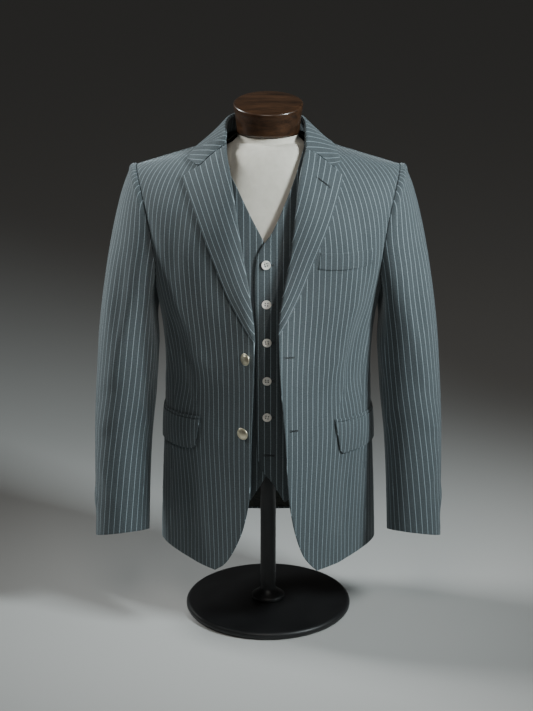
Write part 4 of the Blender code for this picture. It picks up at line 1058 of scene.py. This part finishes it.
def sleeve(turn, down):
    """The sleeve's surface: down is 0 at the armhole, 1 at the widest ring of the arm, 2 at the cuff."""
    turn, down = np.broadcast_arrays(half_turns(np.asarray(turn, float)), np.asarray(down, float))
    _, out, forward, up, fall = (SLEEVE_HEAD.read(name, np.abs(turn)) for name in SLEEVE_HEAD.columns)
    leave = np.stack([out, -np.sign(turn) * forward, up], -1)
    widest = sleeve_ring(turn, BICEPS)
    arrive = unit(sleeve_ring(turn, BICEPS - FALL_STEP) - widest) * fall[..., None]
    before, leaving, after, arriving = weights(np.clip(down, 0, 1)[..., None])
    start = armhole_point(turn) + HEAD_CLEAR
    head = before * start + leaving * leave + after * widest + arriving * arrive
    hang = sleeve_ring(turn, BICEPS - (BICEPS - CUFF) * np.clip(down - 1, 0, 1))
    return np.where((down <= 1)[..., None], head, hang)


SLEEVE_FOLDS = (
    # round the arm from its outside (front is positive), height, to the same, width, depth
    (0.020, 0.700, 0.045, 0.560, 0.013, 0.0020),
    (0.060, 0.680, 0.070, 0.520, 0.012, -0.0026),
    (0.085, 0.600, 0.060, 0.430, 0.013, 0.0024),
    (-0.050, 0.690, -0.070, 0.540, 0.014, -0.0022),
    (0.075, 0.450, 0.020, 0.400, 0.013, -0.0010),
    (0.080, 0.410, 0.030, 0.345, 0.014, 0.0012),
    (0.070, 0.360, 0.010, 0.320, 0.012, -0.0008),
    (-0.060, 0.430, -0.020, 0.390, 0.012, 0.0018),
    (-0.020, 0.250, 0.030, 0.215, 0.010, 0.0020),
    (-0.030, 0.225, 0.010, 0.190, 0.009, -0.0018),
    (0.040, 0.300, 0.075, 0.230, 0.011, 0.0014),
    (0.120, 0.420, 0.150, 0.360, 0.014, 0.0022),
    (0.160, 0.470, 0.130, 0.380, 0.013, -0.0020),
)
SLEEVE_RADIUS = 0.056
SLEEVE_DRIFT = Table(
    "height drift",
    (0.100, 0.062), (0.165, 0.056), (0.260, 0.044), (0.345, 0.031), (0.440, 0.0165), (0.540, 0.0055),
    (0.620, 0.0), (0.900, 0.0),
)
SLEEVE_STRIPE_START = 0.0030
HEAD_LOW, HEAD_HIGH, HEAD_EASE = 0.67, 0.80, 1.35
ROPE_HEIGHT, ROPE_FROM_SEAM, ROPE_WIDTH, ROPE_TURN, ROPE_FADE = 0.0038, 0.0085, 0.0065, 75, 0.7
CHART_TURN, CHART_OUTSIDE = 4.0, 31


class ArmChart:
    """Length round the sleeve at a constant height, in metres, from the line along its outside."""

    def __init__(self):
        self.turns = (np.arange(92) - CHART_OUTSIDE) * CHART_TURN
        self.heights = np.linspace(0.135, 0.835, 141)
        columns = []
        for column in sleeve(self.turns[:, None], np.linspace(0, 2, 401)):
            falling = column[column[:, 2].argmax() :][::-1]
            columns.append(read_off(self.heights, falling[:, 2], falling[:, :2]))
        columns = np.array(columns)
        self.round = np.zeros(columns.shape[:2])
        self.round[1:] = np.cumsum(np.linalg.norm(np.diff(columns, axis=0), axis=-1), axis=0)
        self.round -= self.round[CHART_OUTSIDE].copy()
        self.outside = columns[CHART_OUTSIDE, :, 0]

    def read(self, turn, height):
        a = np.clip((turn - self.turns[0]) / CHART_TURN, 0, len(self.turns) - 1.001)
        b = (height - self.heights[0]) / (self.heights[1] - self.heights[0])
        return between(self.round, a, np.clip(b, 0, len(self.heights) - 1.001))


ARM_CHART = ArmChart()


def sleeve_piece(name, node_name, side, turns, downs):
    """One of a sleeve's two pieces, folded, with its head standing up in a small rope beside the armhole."""
    turn, down = np.meshgrid(turns, downs[::-1])
    around = sleeve(turn + 0.5, down) - sleeve(turn - 0.5, down)
    run = sleeve(turn, np.clip(down - 0.01, 0, 2)) - sleeve(turn, np.clip(down + 0.01, 0, 2))
    out = unit(np.cross(run, around))
    points = sleeve(turn, down)
    height = points[..., 2]
    across = ARM_CHART.read(turn, height) + SLEEVE_DRIFT.read("drift", height)
    swing, steady = (np.interp(at, ARM_CHART.heights, ARM_CHART.outside) for at in (height, HEAD_LOW))
    swing = np.minimum(swing - steady, 0) * eased(ramp(height, HEAD_LOW, HEAD_HIGH))
    across = across - HEAD_EASE * swing * np.sin(np.radians(turn))
    lay = np.stack([across + SLEEVE_STRIPE_START, height], -1)
    from_seam = np.linalg.norm(points - sleeve(turn, 0 * down), axis=-1)
    rope = ROPE_HEIGHT * np.exp(-(((from_seam - ROPE_FROM_SEAM) / ROPE_WIDTH) ** 2))
    turned = half_turns(turn)
    rope = rope * np.cos(ramp(np.abs(turned), 0, ROPE_TURN) * math.pi / 2) ** ROPE_FADE
    lift = ramp(down, 0, FOLD_FADE) * folds(SLEEVE_FOLDS, np.radians(turned) * SLEEVE_RADIUS, height) + rope
    points = points + out * lift[..., None]
    if side > 0:
        points, out, lay = points[:, ::-1], out[:, ::-1], lay[:, ::-1]
    else:
        points, out = points * (-1, 1, 1), out * (-1, 1, 1)
    wool_panel(name, node_name, (points, out), lay)


downs = np.concatenate([1 - (1 - np.linspace(0, 1, 90)) ** 0.8, np.linspace(1, 2, 91)[1:]])
for side, word in SIDES:
    sleeve_piece(f"sleeve_wool_top_{word}", f"sleeve_top_{word}", side, np.linspace(-122, 142, 76), downs)
    sleeve_piece(f"sleeve_wool_under_{word}", f"sleeve_under_{word}", side, np.linspace(142, 238, 30), downs)

# The lapels: the front's facing, turned back along the roll line and pressed, with a soft roll at the fold.
# Their stripes run with the outer edge, which ends in a notch under the collar.

LAPEL_EDGE = {
    1: ((0.0194, 0.5670), (0.0508, 0.6269), (0.0785, 0.6952), (0.1016, 0.7518), (0.1240, 0.8176)),
    -1: ((0.0254, 0.5532), (0.0668, 0.6259), (0.0936, 0.6943), (0.1243, 0.7742), (0.1430, 0.8152)),
}
GORGE = {
    1: ((0.0642, 0.8575), (0.0850, 0.8440), (0.1060, 0.8295)),
    -1: ((0.0735, 0.8600), (0.0937, 0.8444), (0.1116, 0.8307)),
}
FOLD_INSIDE = 0.0015
TURNED_CLOTH = 0.0020
GORGE_GAP = 0.0014
LAPEL_COLUMNS, GORGE_COLUMNS, LAPEL_ROWS = 30, 20, 110
LAPEL_STRIPE_START, LAPEL_GATHER = 0.0010, 0.35
LAPEL_EDGE_LIFT, LAPEL_BELLY, LAPEL_SNUG = 0.0012, 0.0022, 0.012
LAPEL_RIMS = {1: (0.0003, 0.0007, 0.0006, 0.0002), -1: (0.0003, 0.0002, 0.0006, 0.0007)}
for side, word in SIDES:
    roll, edge, gorge = (np.array(rows[side]) for rows in (ROLL, LAPEL_EDGE, GORGE))
    tip = through([gorge[-1], edge[-1]], LAPEL_COLUMNS - GORGE_COLUMNS + 1)[1:]
    grid = patch(
        through([roll[0], edge[0]], LAPEL_COLUMNS),
        np.concatenate([through(gorge, GORGE_COLUMNS), tip]),
        through(roll, LAPEL_ROWS),
        through(edge, LAPEL_ROWS),
    )
    points, out = drape(JACKET, sided_front(grid, side))
    width = np.linalg.norm(points[:, -1] - points[:, 0], axis=-1)
    snug = np.clip(width / LAPEL_SNUG, 0.35, 1)[:, None]
    across = unit(points[:, 1] - points[:, 0])
    seen, under = [], []
    for turn in np.radians((-90, -115, -140, -165, 170, 145, 120)):
        for face, radius in ((seen, FOLD_INSIDE + TURNED_CLOTH), (under, FOLD_INSIDE)):
            shift = -CLEAR + min(0, math.cos(turn)) * radius * snug
            height = FOLD_INSIDE * snug + math.sin(turn) * radius * snug
            face.append(points[:, 0] + across * shift + out[:, 0] * height)
    share = np.linspace(0, 1, LAPEL_COLUMNS)[None, :]
    high = (FOLD_INSIDE * 2) * (1 - share) + LAPEL_EDGE_LIFT * share + LAPEL_BELLY * np.sin(math.pi * share)
    low_face = points + out * (high * snug)[..., None]
    top_face = points + out * ((high + TURNED_CLOTH) * snug)[..., None]
    seen = np.concatenate([np.stack(seen, 1), top_face], 1)
    under = np.concatenate([np.stack(under, 1), low_face], 1)
    rim_line = seen[:, -1]
    beyond = rim_line[-1] + (rim_line[-1] - rim_line[-12]) * np.linspace(0.1, 2, 12)[:, None]
    rim_line = np.concatenate([rim_line, beyond])
    from_edge = np.stack([np.linalg.norm(row[:, None] - rim_line[None], axis=-1).min(1) for row in seen])
    length = run_along(seen[:, -1])[:, None]
    from_edge = from_edge * (1 + LAPEL_GATHER * (1 - length / length[-1]))
    lay = np.stack([from_edge + LAPEL_STRIPE_START, np.broadcast_to(length, from_edge.shape)], -1)
    for face in (seen, under):
        face[-1] += unit(face[-2] - face[-1]) * GORGE_GAP
    if side < 0:
        seen, under, lay = seen[:, ::-1], under[:, ::-1], lay[:, ::-1]
    cloth_piece(
        f"lapel_wool_{word}", f"lapel_{word}", "wool", seen, under, lay, LAPEL_RIMS[side]
    )

# The collar: one strip of wool on an undercollar, standing up round the neck and folded over, so that its
# fall covers the neck seam. Its stripes run across it, and its ends meet the lapels in the notches.


def on_jacket(x, height, side, lift):
    """A point lying on the jacket's front (side -1) or back (side 1), moved out by lift."""
    spot = JACKET.locate(x, min(height, float(JACKET.ridge_height(x)) * 0.999999), side)
    points, _ = drape(JACKET, spot[None, None], lift)
    return points[0, 0]


COLLAR_CORNER = {1: (0.1214, 0.8345), -1: (0.1358, 0.8363)}
COLLAR_WIDER = {1: 0.000, -1: 0.009}
COLLAR_INSET = 0.0044
COLLAR_END_GAP = 0.00126


def collar_lines(side):
    """The collar's fold, outer edge and neck seam, from the middle of the back to the front, and its end."""
    (roll_x, roll_z), corner, wide = ROLL[side][-1], COLLAR_CORNER[side], COLLAR_WIDER[side]
    roll_x -= 0.0035
    fold = [
        (0, 0.0700, 0.9030),
        ((0.0400 + wide / 2) * side, 0.0580, 0.9030),
        ((0.0590 + wide) * side, 0.0260, 0.9005),
        ((0.0640 + wide) * side, -0.0080, 0.8930),
        ((0.0635 + wide * 0.9) * side, -0.0420, 0.8785),
        on_jacket(roll_x * side, roll_z, -1, 0.0048),
    ]
    edge = []
    for x, height, way, lift in (
        (0, 0.8605, 1, 0.0042), (0.034, 0.8600, 1, 0.0042), (0.068, 0.8570, 1, 0.0042),
        (0.092 + wide / 2, 0.8540, 1, 0.0044), (0.1060 + wide, 0.9000, -1, 0.0046), (*corner, -1, 0.0036),
    ):
        edge.append(on_jacket(x * side, height, way, lift))
    neck = JACKET.place(*shoulder(JACKET, 1, 0.0, NECK_HALF - 0.0005, 6).T)
    neck = neck - unit(neck * (1, 1, 0)) * COLLAR_INSET
    front = shoulder(JACKET, -1, NECK_HALF - 0.001, NECK_HALF - 0.001, 1)[0]
    neck = [point * (side, 1, 1) for point in (*neck, JACKET.place(*front) - (COLLAR_INSET, 0, 0))]
    neck.append(on_jacket(roll_x * side, roll_z, -1, -0.0030))
    end = [fold[-1], *(on_jacket(x * side, z, -1, 0.0042) for x, z in GORGE[side][1:]), edge[-1]]
    return fold, edge, neck, end


COLLAR_ROWS, COLLAR_COLUMNS, STAND_COLUMNS, ROLL_COLUMNS = 70, 26, 7, 9
FINE_FOLD = 900
COLLAR_SLANT, COLLAR_SPREAD = {1: 0.36, -1: 0.12}, {1: 0.80, -1: 1.02}


def collar_section(fold, edge, foot_seam, forward, share, turned_end):
    """The collar's seen and hidden faces across one place: up the stand, over the fold and down the fall."""
    ring = FOLD_INSIDE + TURNED_CLOTH
    fall = unit(edge - fold)
    out = unit(np.cross(forward, fall))
    centre = fold + (fall - out) * ring
    rise = centre - out * ring - foot_seam
    away = unit(np.cross(forward, -rise))
    stand = foot_seam + rise * np.linspace(0, 0.9, STAND_COLUMNS)[:, None]
    turns = np.linspace(-math.pi / 2, math.pi / 2, ROLL_COLUMNS)[:, None]
    spokes = np.sin(turns) * out - np.cos(turns) * fall
    roll = centre + spokes * ring
    v = np.linspace(0, 1, COLLAR_COLUMNS)[1:, None]
    flat = roll[-1] + (edge - roll[-1]) * v + out * (0.003 - 0.002 * share) * np.sin(math.pi * v)
    flat = flat + turned_end[1:] * ramp(share, 0.75, 1) ** 1.5
    under = stand + away * TURNED_CLOTH, centre + spokes * FOLD_INSIDE, flat - out * TURNED_CLOTH
    return np.concatenate([stand, roll, flat]), np.concatenate(under)


def collar():
    stations = []
    for side in (-1, 1):
        *lines, end = collar_lines(side)
        fold, edge, foot_seam = (through(line, COLLAR_ROWS) for line in lines)
        end = through(end, COLLAR_COLUMNS)
        turned_end = end - (end[0] + np.linspace(0, 1, COLLAR_COLUMNS)[:, None] * (end[-1] - end[0]))
        forward = unit(np.gradient(fold, axis=0)) * side
        tail = fold[-1] + (fold[-1] - fold[-6]) * np.linspace(0.02, 9, FINE_FOLD // 2)[:, None]
        line = np.concatenate([through(fold, FINE_FOLD), tail])
        stretch = np.interp(np.arange(len(line) - 1) / FINE_FOLD, (0.3, 0.6), (1.0, COLLAR_SPREAD[side]))
        line_run = run_along(line, stretch)
        half = []
        for i, share in enumerate(np.linspace(0, 1, COLLAR_ROWS)):
            seen, under = collar_section(fold[i], edge[i], foot_seam[i], forward[i], share, turned_end)
            nearest = np.linalg.norm(seen[:, None] - line[None], axis=-1).argmin(1)
            own_run = np.interp(share, np.linspace(0, 1, FINE_FOLD), line_run[:FINE_FOLD])
            along_fold = own_run + eased(ramp(share, 0.35, 0.70)) * (line_run[nearest] - own_run)
            depth = run_along(seen)
            past_fold = np.clip(depth - depth[STAND_COLUMNS + ROLL_COLUMNS // 2], 0, None)
            along_fold = along_fold + COLLAR_SLANT[side] * min(1, share / 0.4) * past_fold
            half.append((seen, under, np.stack([along_fold, depth], -1)))
        stations += half[::-1] if side < 0 else half[1:]
    seen, under, lay = (np.array([station[k] for station in stations]) for k in range(3))
    for grid in (seen, under):
        gap = COLLAR_END_GAP * np.interp(np.arange(grid.shape[1]), (0, 8, 20), (2.6, 1.8, 1))[:, None]
        for end, inner in ((0, 1), (-1, -2)):
            grid[end] += unit(grid[inner] - grid[end]) * gap
    rests_on, rims = ["jacket_back_left", "jacket_back_right"], (0.0007, 0.0007, 0.0007, 0.0003)
    cloth_piece("collar_wool", "collar", "wool", seen, under, lay, rims)


collar()

# The pockets: two slanting hip pockets, each with a lined wool flap and a narrow wool jet above it, and the
# welt of the chest pocket. Their stripes are matched to the front's.

FLAP = {
    1: ((34.7, 0.3944), (98, 0.3850), (97, 0.3300), (38.3, 0.3330)),
    -1: ((35.7, 0.3991), (98, 0.3880), (97, 0.3330), (39.3, 0.3409)),
}
ON_TOP = 0.0009
JET_HEIGHT, JET_START, JET_CLOTH, JET_LIFT, JET_ROWS = 0.0050, 0.0006, 0.0012, 0.0016, 5
FLAP_CLOTH, FLAP_LIFT, FLAP_BELLY, FLAP_GRID = 0.0020, 0.0020, 0.0012, (50, 22)
FLAP_CORNER = ((-0.7, 0.0090), (0.7, 0.0024), (3.0, 0.0003))
WELT = ((0.0830, 0.6748), (0.1717, 0.6717), (0.1755, 0.7017), (0.0859, 0.7030))
WELT_CLOTH, WELT_LIFT, WELT_GRID = 0.0009, 0.0004, (34, 12)


def on_front(name, node_name, grid, side, lift, thickness, rim):
    """A piece sewn on the front, made from the front's own surface moved out."""
    grid = sided(grid, side)
    points, out = drape(JACKET, grid, ON_TOP + lift)
    under, lay = points - out * thickness, front_lay(grid, side)
    return cloth_piece(name, node_name, "wool", points, under, lay, (rim,) * 4)


for side, word in SIDES:
    *top, low_back = seam(JACKET, *FLAP[side][:3])
    low_degrees, low_height = FLAP[side][3]
    low = seam(JACKET, *((low_degrees + turn, low_height + rise) for turn, rise in FLAP_CORNER))
    flap = spanned([*low, low_back], top, [low[0], top[0]], [low_back, top[1]], *FLAP_GRID)
    jet = np.stack([flap[-1]] * JET_ROWS)
    jet[..., 1] += (JET_START + JET_HEIGHT * np.linspace(0, 1, JET_ROWS)[:, None]) / SHOULDER_HEIGHT
    jet = on_front(f"jet_wool_{word}", f"pocket_jet_{word}", jet, side, JET_LIFT, JET_CLOTH, 0.0005)
    lift = FLAP_LIFT + FLAP_BELLY * np.sin(np.linspace(0.3, math.pi * 0.9, len(flap)))[:, None]
    on_front(f"flap_wool_{word}", f"pocket_flap_{word}", flap, side, lift, FLAP_CLOTH, 0.0007)

low_front, low_back, top_back, top_front = spots(JACKET, -1, *WELT)
low, top = (low_front, low_back), (top_front, top_back)
welt = spanned(low, top, (low_front, top_front), (low_back, top_back), *WELT_GRID)
on_front("welt_wool", "breast_welt", welt, 1, WELT_LIFT, WELT_CLOTH, 0.0004)

# The buttonholes: slits worked round with close stitches of dark silk, two down the jacket's left front, one
# in its left lapel, and six down the waistcoat. Each has a round eye at the end nearer the edge and a bar at
# the other.

HOLE_STITCH, HOLE_THREAD = 0.00055, 0.00034
HOLE_HALF, EYE_WIDER, EYE_STITCHES, EYE_RADIUS = 0.0008, 0.0009, 5, 0.0017
STITCH_LENGTH, STITCH_LIFT, STITCH_SLANT = 0.0015, 0.0003, 0.25
BAR_STITCHES = (-0.0018, -0.0012, -0.0006, 0.0, 0.0006, 0.0012, 0.0018)
BAR_OFF, LOOK_AHEAD = 0.0004, 0.05


def stitch_tree():
    """Lays one stitch on each place it is given, along that place's own direction."""
    tree, given, result = node_group(
        "stitches",
        (("Places", "Geometry"), ("Length", "Float", 0.0015), ("Thickness", "Float", 0.0002),
         ("Uneven", "Float", 0.12), ("Seed", "Int", 7), ("Thread", "Material")),
        (("Stitches", "Geometry"),),
        "Geometry",
    )
    lie = node(tree, "GeometryNodeInputNamedAttribute", {"Name": "lie"}, data_type="FLOAT_VECTOR").outputs[0]
    turn = node(tree, "FunctionNodeAlignRotationToVector", {"Vector": lie}, axis="Z").outputs[0]
    least, most = (maths(tree, way, 1.0, given["Uneven"]) for way in ("SUBTRACT", "ADD"))
    vary = node(tree, "FunctionNodeRandomValue", {2: least, 3: most, 8: given["Seed"]}, data_type="FLOAT")
    half = times(tree, given["Length"], times(tree, vary.outputs[1], 0.5))
    sizes = {"X": given["Thickness"], "Y": given["Thickness"], "Z": half}
    size = node(tree, "ShaderNodeCombineXYZ", sizes).outputs[0]
    bead = node(tree, "GeometryNodeMeshUVSphere", {"Segments": 8, "Rings": 6, "Radius": 1.0}).outputs[0]
    laying = {"Points": given["Places"], "Instance": bead, "Rotation": turn, "Scale": size}
    laid = node(tree, "GeometryNodeInstanceOnPoints", laying).outputs[0]
    real = node(tree, "GeometryNodeRealizeInstances", {"Geometry": laid}).outputs[0]
    ready = node(tree, "GeometryNodeSetMaterial", {"Geometry": real, "Material": given["Thread"]}).outputs[0]
    tree.links.new(ready, result.inputs[0])
    return tree


STITCHES = stitch_tree()


def silk_thread(name, dark, light):
    made, tree, shader = new_material(name, Roughness=0.5, Sheen_Weight=0.3, Specular_IOR_Level=0.35)
    strands = noise(tree, object_place(tree), 2600.0, 2.0)
    toned(tree, shader, strands, dark, light)
    bump(tree, shader, strands, 0.0001, 0.4)
    return made


def keep_result(obj):
    """Makes a plain mesh of what an object's modifiers turn it into."""
    bpy.context.view_layer.update()
    done = bpy.data.meshes.new_from_object(obj.evaluated_get(bpy.context.evaluated_depsgraph_get()))
    obj.modifiers.clear()
    obj.data = done


def sewn(name, places, directions, length, thickness, thread):
    """A piece of sewing: one stitch at each place, made by the stitch tree and kept as a plain mesh."""
    guide = bpy.data.meshes.new(name)
    guide.from_pydata(np.asarray(places).tolist(), [], [])
    lie = guide.attributes.new("lie", "FLOAT_VECTOR", "POINT")
    lie.data.foreach_set("vector", np.asarray(directions, np.float32).ravel())
    obj = link(bpy.data.objects.new(name, guide))
    sewing = obj.modifiers.new("stitches", "NODES")
    sewing.node_group = STITCHES
    values = {"Length": length, "Thickness": thickness, "Thread": thread}
    for socket in STITCHES.interface.items_tree:
        if socket.in_out == "INPUT" and socket.name in values:
            sewing[socket.identifier] = values[socket.name]
    keep_result(obj)
    obj.data.shade_smooth()
    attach(obj, "root")


IN_FRONT = 0.015


def on_cloth(cloth, torso, x, height):
    """The place on a finished piece of cloth in front of (x, height), and the direction out of it."""
    points, _ = drape(torso, torso.locate(x, height)[None, None], IN_FRONT)
    _, place, normal, _ = bpy.data.objects[cloth].closest_point_on_mesh(Vector(points[0, 0]))
    return np.array(place), np.array(normal)


def buttonhole(name, cloth, torso, start, end, thread):
    """A worked hole between two (x, height) places: its eye is at the start and its bar at the end."""
    start, length = np.array(start), np.subtract(end, start)
    count = int(np.linalg.norm(length) / HOLE_STITCH)
    stitches = []
    for i in range(count + 1):
        spot = start + length * (i / count)
        place, out = on_cloth(cloth, torso, *spot)
        forward = unit(on_cloth(cloth, torso, *(spot + length * LOOK_AHEAD))[0] - place)
        beside = unit(np.cross(out, forward))
        place = place + out * STITCH_LIFT
        half = HOLE_HALF + EYE_WIDER * max(0.0, 1 - i / EYE_STITCHES)
        for way in (-1, 1):
            stitches.append((place + beside * way * half, beside + forward * STITCH_SLANT * way))
        if i == 0:
            for spoke in np.radians((120, 150, 180, 210, 240)):
                ray = forward * math.cos(spoke) + beside * math.sin(spoke)
                stitches.append((place + ray * EYE_RADIUS, ray))
    for step in BAR_STITCHES:
        stitches.append((place + beside * step + forward * BAR_OFF, forward))
    sewn(name, *zip(*stitches), STITCH_LENGTH, HOLE_THREAD, thread)


DARK_SILK = silk_thread("dark_silk_thread", (0.004, 0.006, 0.008), (0.014, 0.019, 0.024))
JACKET_HOLES = (((0.0270, 0.5262), (0.0430, 0.5244)), ((0.0379, 0.3951), (0.0497, 0.3938)))
LAPEL_HOLE = ((0.0993, 0.8026), (0.0790, 0.8163))
for number, (start, end) in enumerate(JACKET_HOLES, 1):
    buttonhole(f"jacket_buttonhole_{number}", "jacket_wool_front_left", JACKET, start, end, DARK_SILK)
buttonhole("lapel_buttonhole", "lapel_wool_left", JACKET, *LAPEL_HOLE, DARK_SILK)
VEST_BUTTONS = ((-0.0038, 0.6808), (-0.0030, 0.6135), (-0.0022, 0.5455), (-0.0022, 0.4756), (-0.0021, 0.4090))
EMPTY_HOLE = (-0.0021, 0.3396)
for number, (x, height) in enumerate((*VEST_BUTTONS, EMPTY_HOLE), 1):
    ends = (x - 0.0035, height), (x + 0.0115, height - 0.0006)
    buttonhole(f"waistcoat_buttonhole_{number}", "waistcoat_wool_front_left", FORM, *ends, DARK_SILK)

# The buttons: two domed, plated ones with a rolled rim on the jacket, sewn on a thread shank from which they
# hang turned to the side, and five flat pearl ones with four holes on the waistcoat, sewn through with grey
# thread.

SHANK = 0.0012
JACKET_BUTTONS = ((-0.0355, 0.5230, 48, 2), (-0.0410, 0.3916, 33, -4))


def plated():
    made, tree, shader = new_material("pale_pewter", Metallic=1.0)
    worn = noise(tree, object_place(tree), 420.0, 4.0)
    toned(tree, shader, worn, (0.74, 0.63, 0.41), (1.0, 0.96, 0.78), (0.25, 0.22))
    bump(tree, shader, worn, 0.0002, 0.15)
    return made


def pearl():
    made, tree, shader = new_material("grey_pearl", Roughness=0.22, Coat_Weight=0.5, Coat_Roughness=0.08)
    layers = noise(tree, object_place(tree), 260.0, 3.0, Distortion=1.2)
    toned(tree, shader, layers, (0.72, 0.70, 0.63), (0.98, 0.97, 0.92))
    bump(tree, shader, layers, 0.0002, 0.1)
    return made


def facing(centre, out):
    """A button's middle with its sideways, upward and outward directions."""
    sideways = unit(np.cross((0, 0, 1), out))
    return centre, sideways, unit(np.cross(out, sideways)), out


def spokes_between(first, second, count):
    turn = np.linspace(0, 2 * math.pi, count, endpoint=False)[:, None]
    return np.cos(turn) * first + np.sin(turn) * second


def round_piece(name, centre, first, second, out, profile, finish):
    spokes = spokes_between(first, second, 64)
    return lathe(name, [centre + out * rise + radius * spokes for rise, radius in profile], finish)


PEWTER, PEARL = plated(), pearl()
DOMED = (
    (0.0000, 0.0020), (0.0024, 0.0020), (0.0026, 0.0080), (0.0029, 0.0098), (0.0034, 0.0104),
    (0.0040, 0.0105), (0.0046, 0.0102), (0.0048, 0.0096), (0.0046, 0.0088), (0.0045, 0.0082),
    (0.0049, 0.0074), (0.0055, 0.0062), (0.0060, 0.0045), (0.0063, 0.0025), (0.0064, 0.0006),
)
for number, (x, height, *turns) in enumerate(JACKET_BUTTONS, 1):
    turned_out, tipped = np.radians(turns)
    level = np.cos(tipped)
    out = np.array([-np.sin(turned_out) * level, -np.cos(turned_out) * level, np.sin(tipped)])
    place = facing(on_jacket(x, height, -1, SHANK), out)
    button = round_piece(f"domed_button_{number}", *place, DOMED, PEWTER)
    place_piece(button, f"jacket_button_{number}")

HOLE_OFF, HOLE_RADIUS, HOLE_SIDES = 0.0021, 0.00120, 14
DRILL_START, DRILL_END = -0.002, 0.006
THREAD_OFF, THREAD_RISE, THREAD_LENGTH, THREAD_THICKNESS = 0.00024, 0.0021, 0.0025, 0.00024
FLAT = (
    (0.0005, 0.0040), (0.0006, 0.0062), (0.0010, 0.0072), (0.0016, 0.0077), (0.0022, 0.0078),
    (0.0027, 0.0075), (0.0029, 0.0070), (0.0028, 0.0065), (0.0024, 0.0058), (0.0021, 0.0050),
    (0.0020, 0.0042), (0.0020, 0.0010),
)


def drilled(button, centre, first, second, out):
    """Cuts the four holes with a temporary solid."""
    drill = bmesh.new()
    for sx, sy in ((1, 1), (1, -1), (-1, 1), (-1, -1)):
        spot = centre + (first * sx + second * sy) * HOLE_OFF
        circle = spot + spokes_between(first, second, HOLE_SIDES) * HOLE_RADIUS
        drill.faces.new(loft(drill, [circle + out * DRILL_START, circle + out * DRILL_END]))
    tool = link(finished(drill, "drill"))
    cut = link(button).modifiers.new("holes", "BOOLEAN")
    cut.operation, cut.solver, cut.object = "DIFFERENCE", "EXACT", tool
    keep_result(button)
    bpy.data.objects.remove(tool)


GREY_SILK = silk_thread("grey_silk_thread", (0.12, 0.115, 0.10), (0.24, 0.23, 0.20))
BUTTON_TILT = (0.30, -0.10, 0.15, 0.05, -0.20)
for number, ((x, height), tilt) in enumerate(zip(VEST_BUTTONS, BUTTON_TILT), 1):
    points, out = drape(FORM, FORM.locate(x, height)[None, None], VEST_LIFT + VEST_OVERLAP)
    centre, level, upright, out = facing(points[0, 0], out[0, 0])
    first = level * math.cos(tilt) + upright * math.sin(tilt)
    second = upright * math.cos(tilt) - level * math.sin(tilt)
    button = round_piece(f"four_hole_button_{number}", centre, first, second, out, FLAT, PEARL)
    drilled(button, centre, first, second, out)
    place_piece(button, f"waistcoat_button_{number}")
    slides = (side * HOLE_OFF + off for side in (-1, 1) for off in (-THREAD_OFF, THREAD_OFF))
    places = [centre + first * slide + out * THREAD_RISE for slide in slides]
    sewn(f"button_thread_{number}", places, [second] * 4, THREAD_LENGTH, THREAD_THICKNESS, GREY_SILK)

# The floor and lights: a plain pale floor, a soft light from the wearer's left front, one from behind their
# right shoulder, a broad one from high in front, a faint narrow one on the waist, and a camera a little above
# the suit.

floor_mesh = bpy.data.meshes.new("floor")
floor_mesh.from_pydata([(-40, -40, 0), (40, -40, 0), (40, 40, 0), (-40, 40, 0)], [], [(0, 1, 2, 3)])
floor_mesh.materials.append(new_material("pale_floor", Base_Color=(0.56, 0.56, 0.55, 1), Roughness=0.9)[0])
floor = link(bpy.data.objects.new("floor", floor_mesh))

world = bpy.data.worlds.new("studio")
world.use_nodes = True
colour, strength = world.node_tree.nodes["Background"].inputs[:2]
colour.default_value, strength.default_value = (0.86, 0.84, 0.80, 1), 0.045
bpy.context.scene.world = world

AIM = (-0.003, 0.0, 0.48)
for name, place, at, size, spread, watts, colour in (
    ("key", (1.74, -1.03, 1.80), (0.14, -0.10, 0.70), 0.45, 52, 6.4, (0.88, 0.98, 1.0)),
    ("rim", (-1.90, 0.50, 1.80), (-0.25, 0.00, 0.74), 0.70, 46, 4.6, (0.95, 1.0, 1.0)),
    ("front", (-0.20, -1.90, 2.60), (0.00, -0.10, 0.68), 1.20, 120, 6.3, (1.0, 0.96, 0.90)),
    ("waist", (1.30, -1.90, 1.20), (-0.12, -0.12, 0.59), 0.16, 11, 0.085, (1.0, 0.97, 0.93)),
):
    light = bpy.data.lights.new(name, "AREA")
    light.shape, light.size, light.energy, light.color = "SQUARE", size, watts, colour
    light.spread = math.radians(spread)
    lamp = link(bpy.data.objects.new(name, light))
    lamp.location = place
    lamp.rotation_euler = (Vector(place) - Vector(at)).to_track_quat("Z", "Y").to_euler()

CAMERA_AWAY, CAMERA_RISE = 3.1, math.radians(18)
camera_data = bpy.data.cameras.new("camera")
camera_data.sensor_fit, camera_data.sensor_width, camera_data.lens = "AUTO", 36.0, 89.3
camera = link(bpy.data.objects.new("camera", camera_data))
camera.location = (AIM[0], -CAMERA_AWAY * math.cos(CAMERA_RISE), AIM[2] + CAMERA_AWAY * math.sin(CAMERA_RISE))
camera.rotation_euler = (math.pi / 2 - CAMERA_RISE, 0, 0)
bpy.context.scene.camera = camera
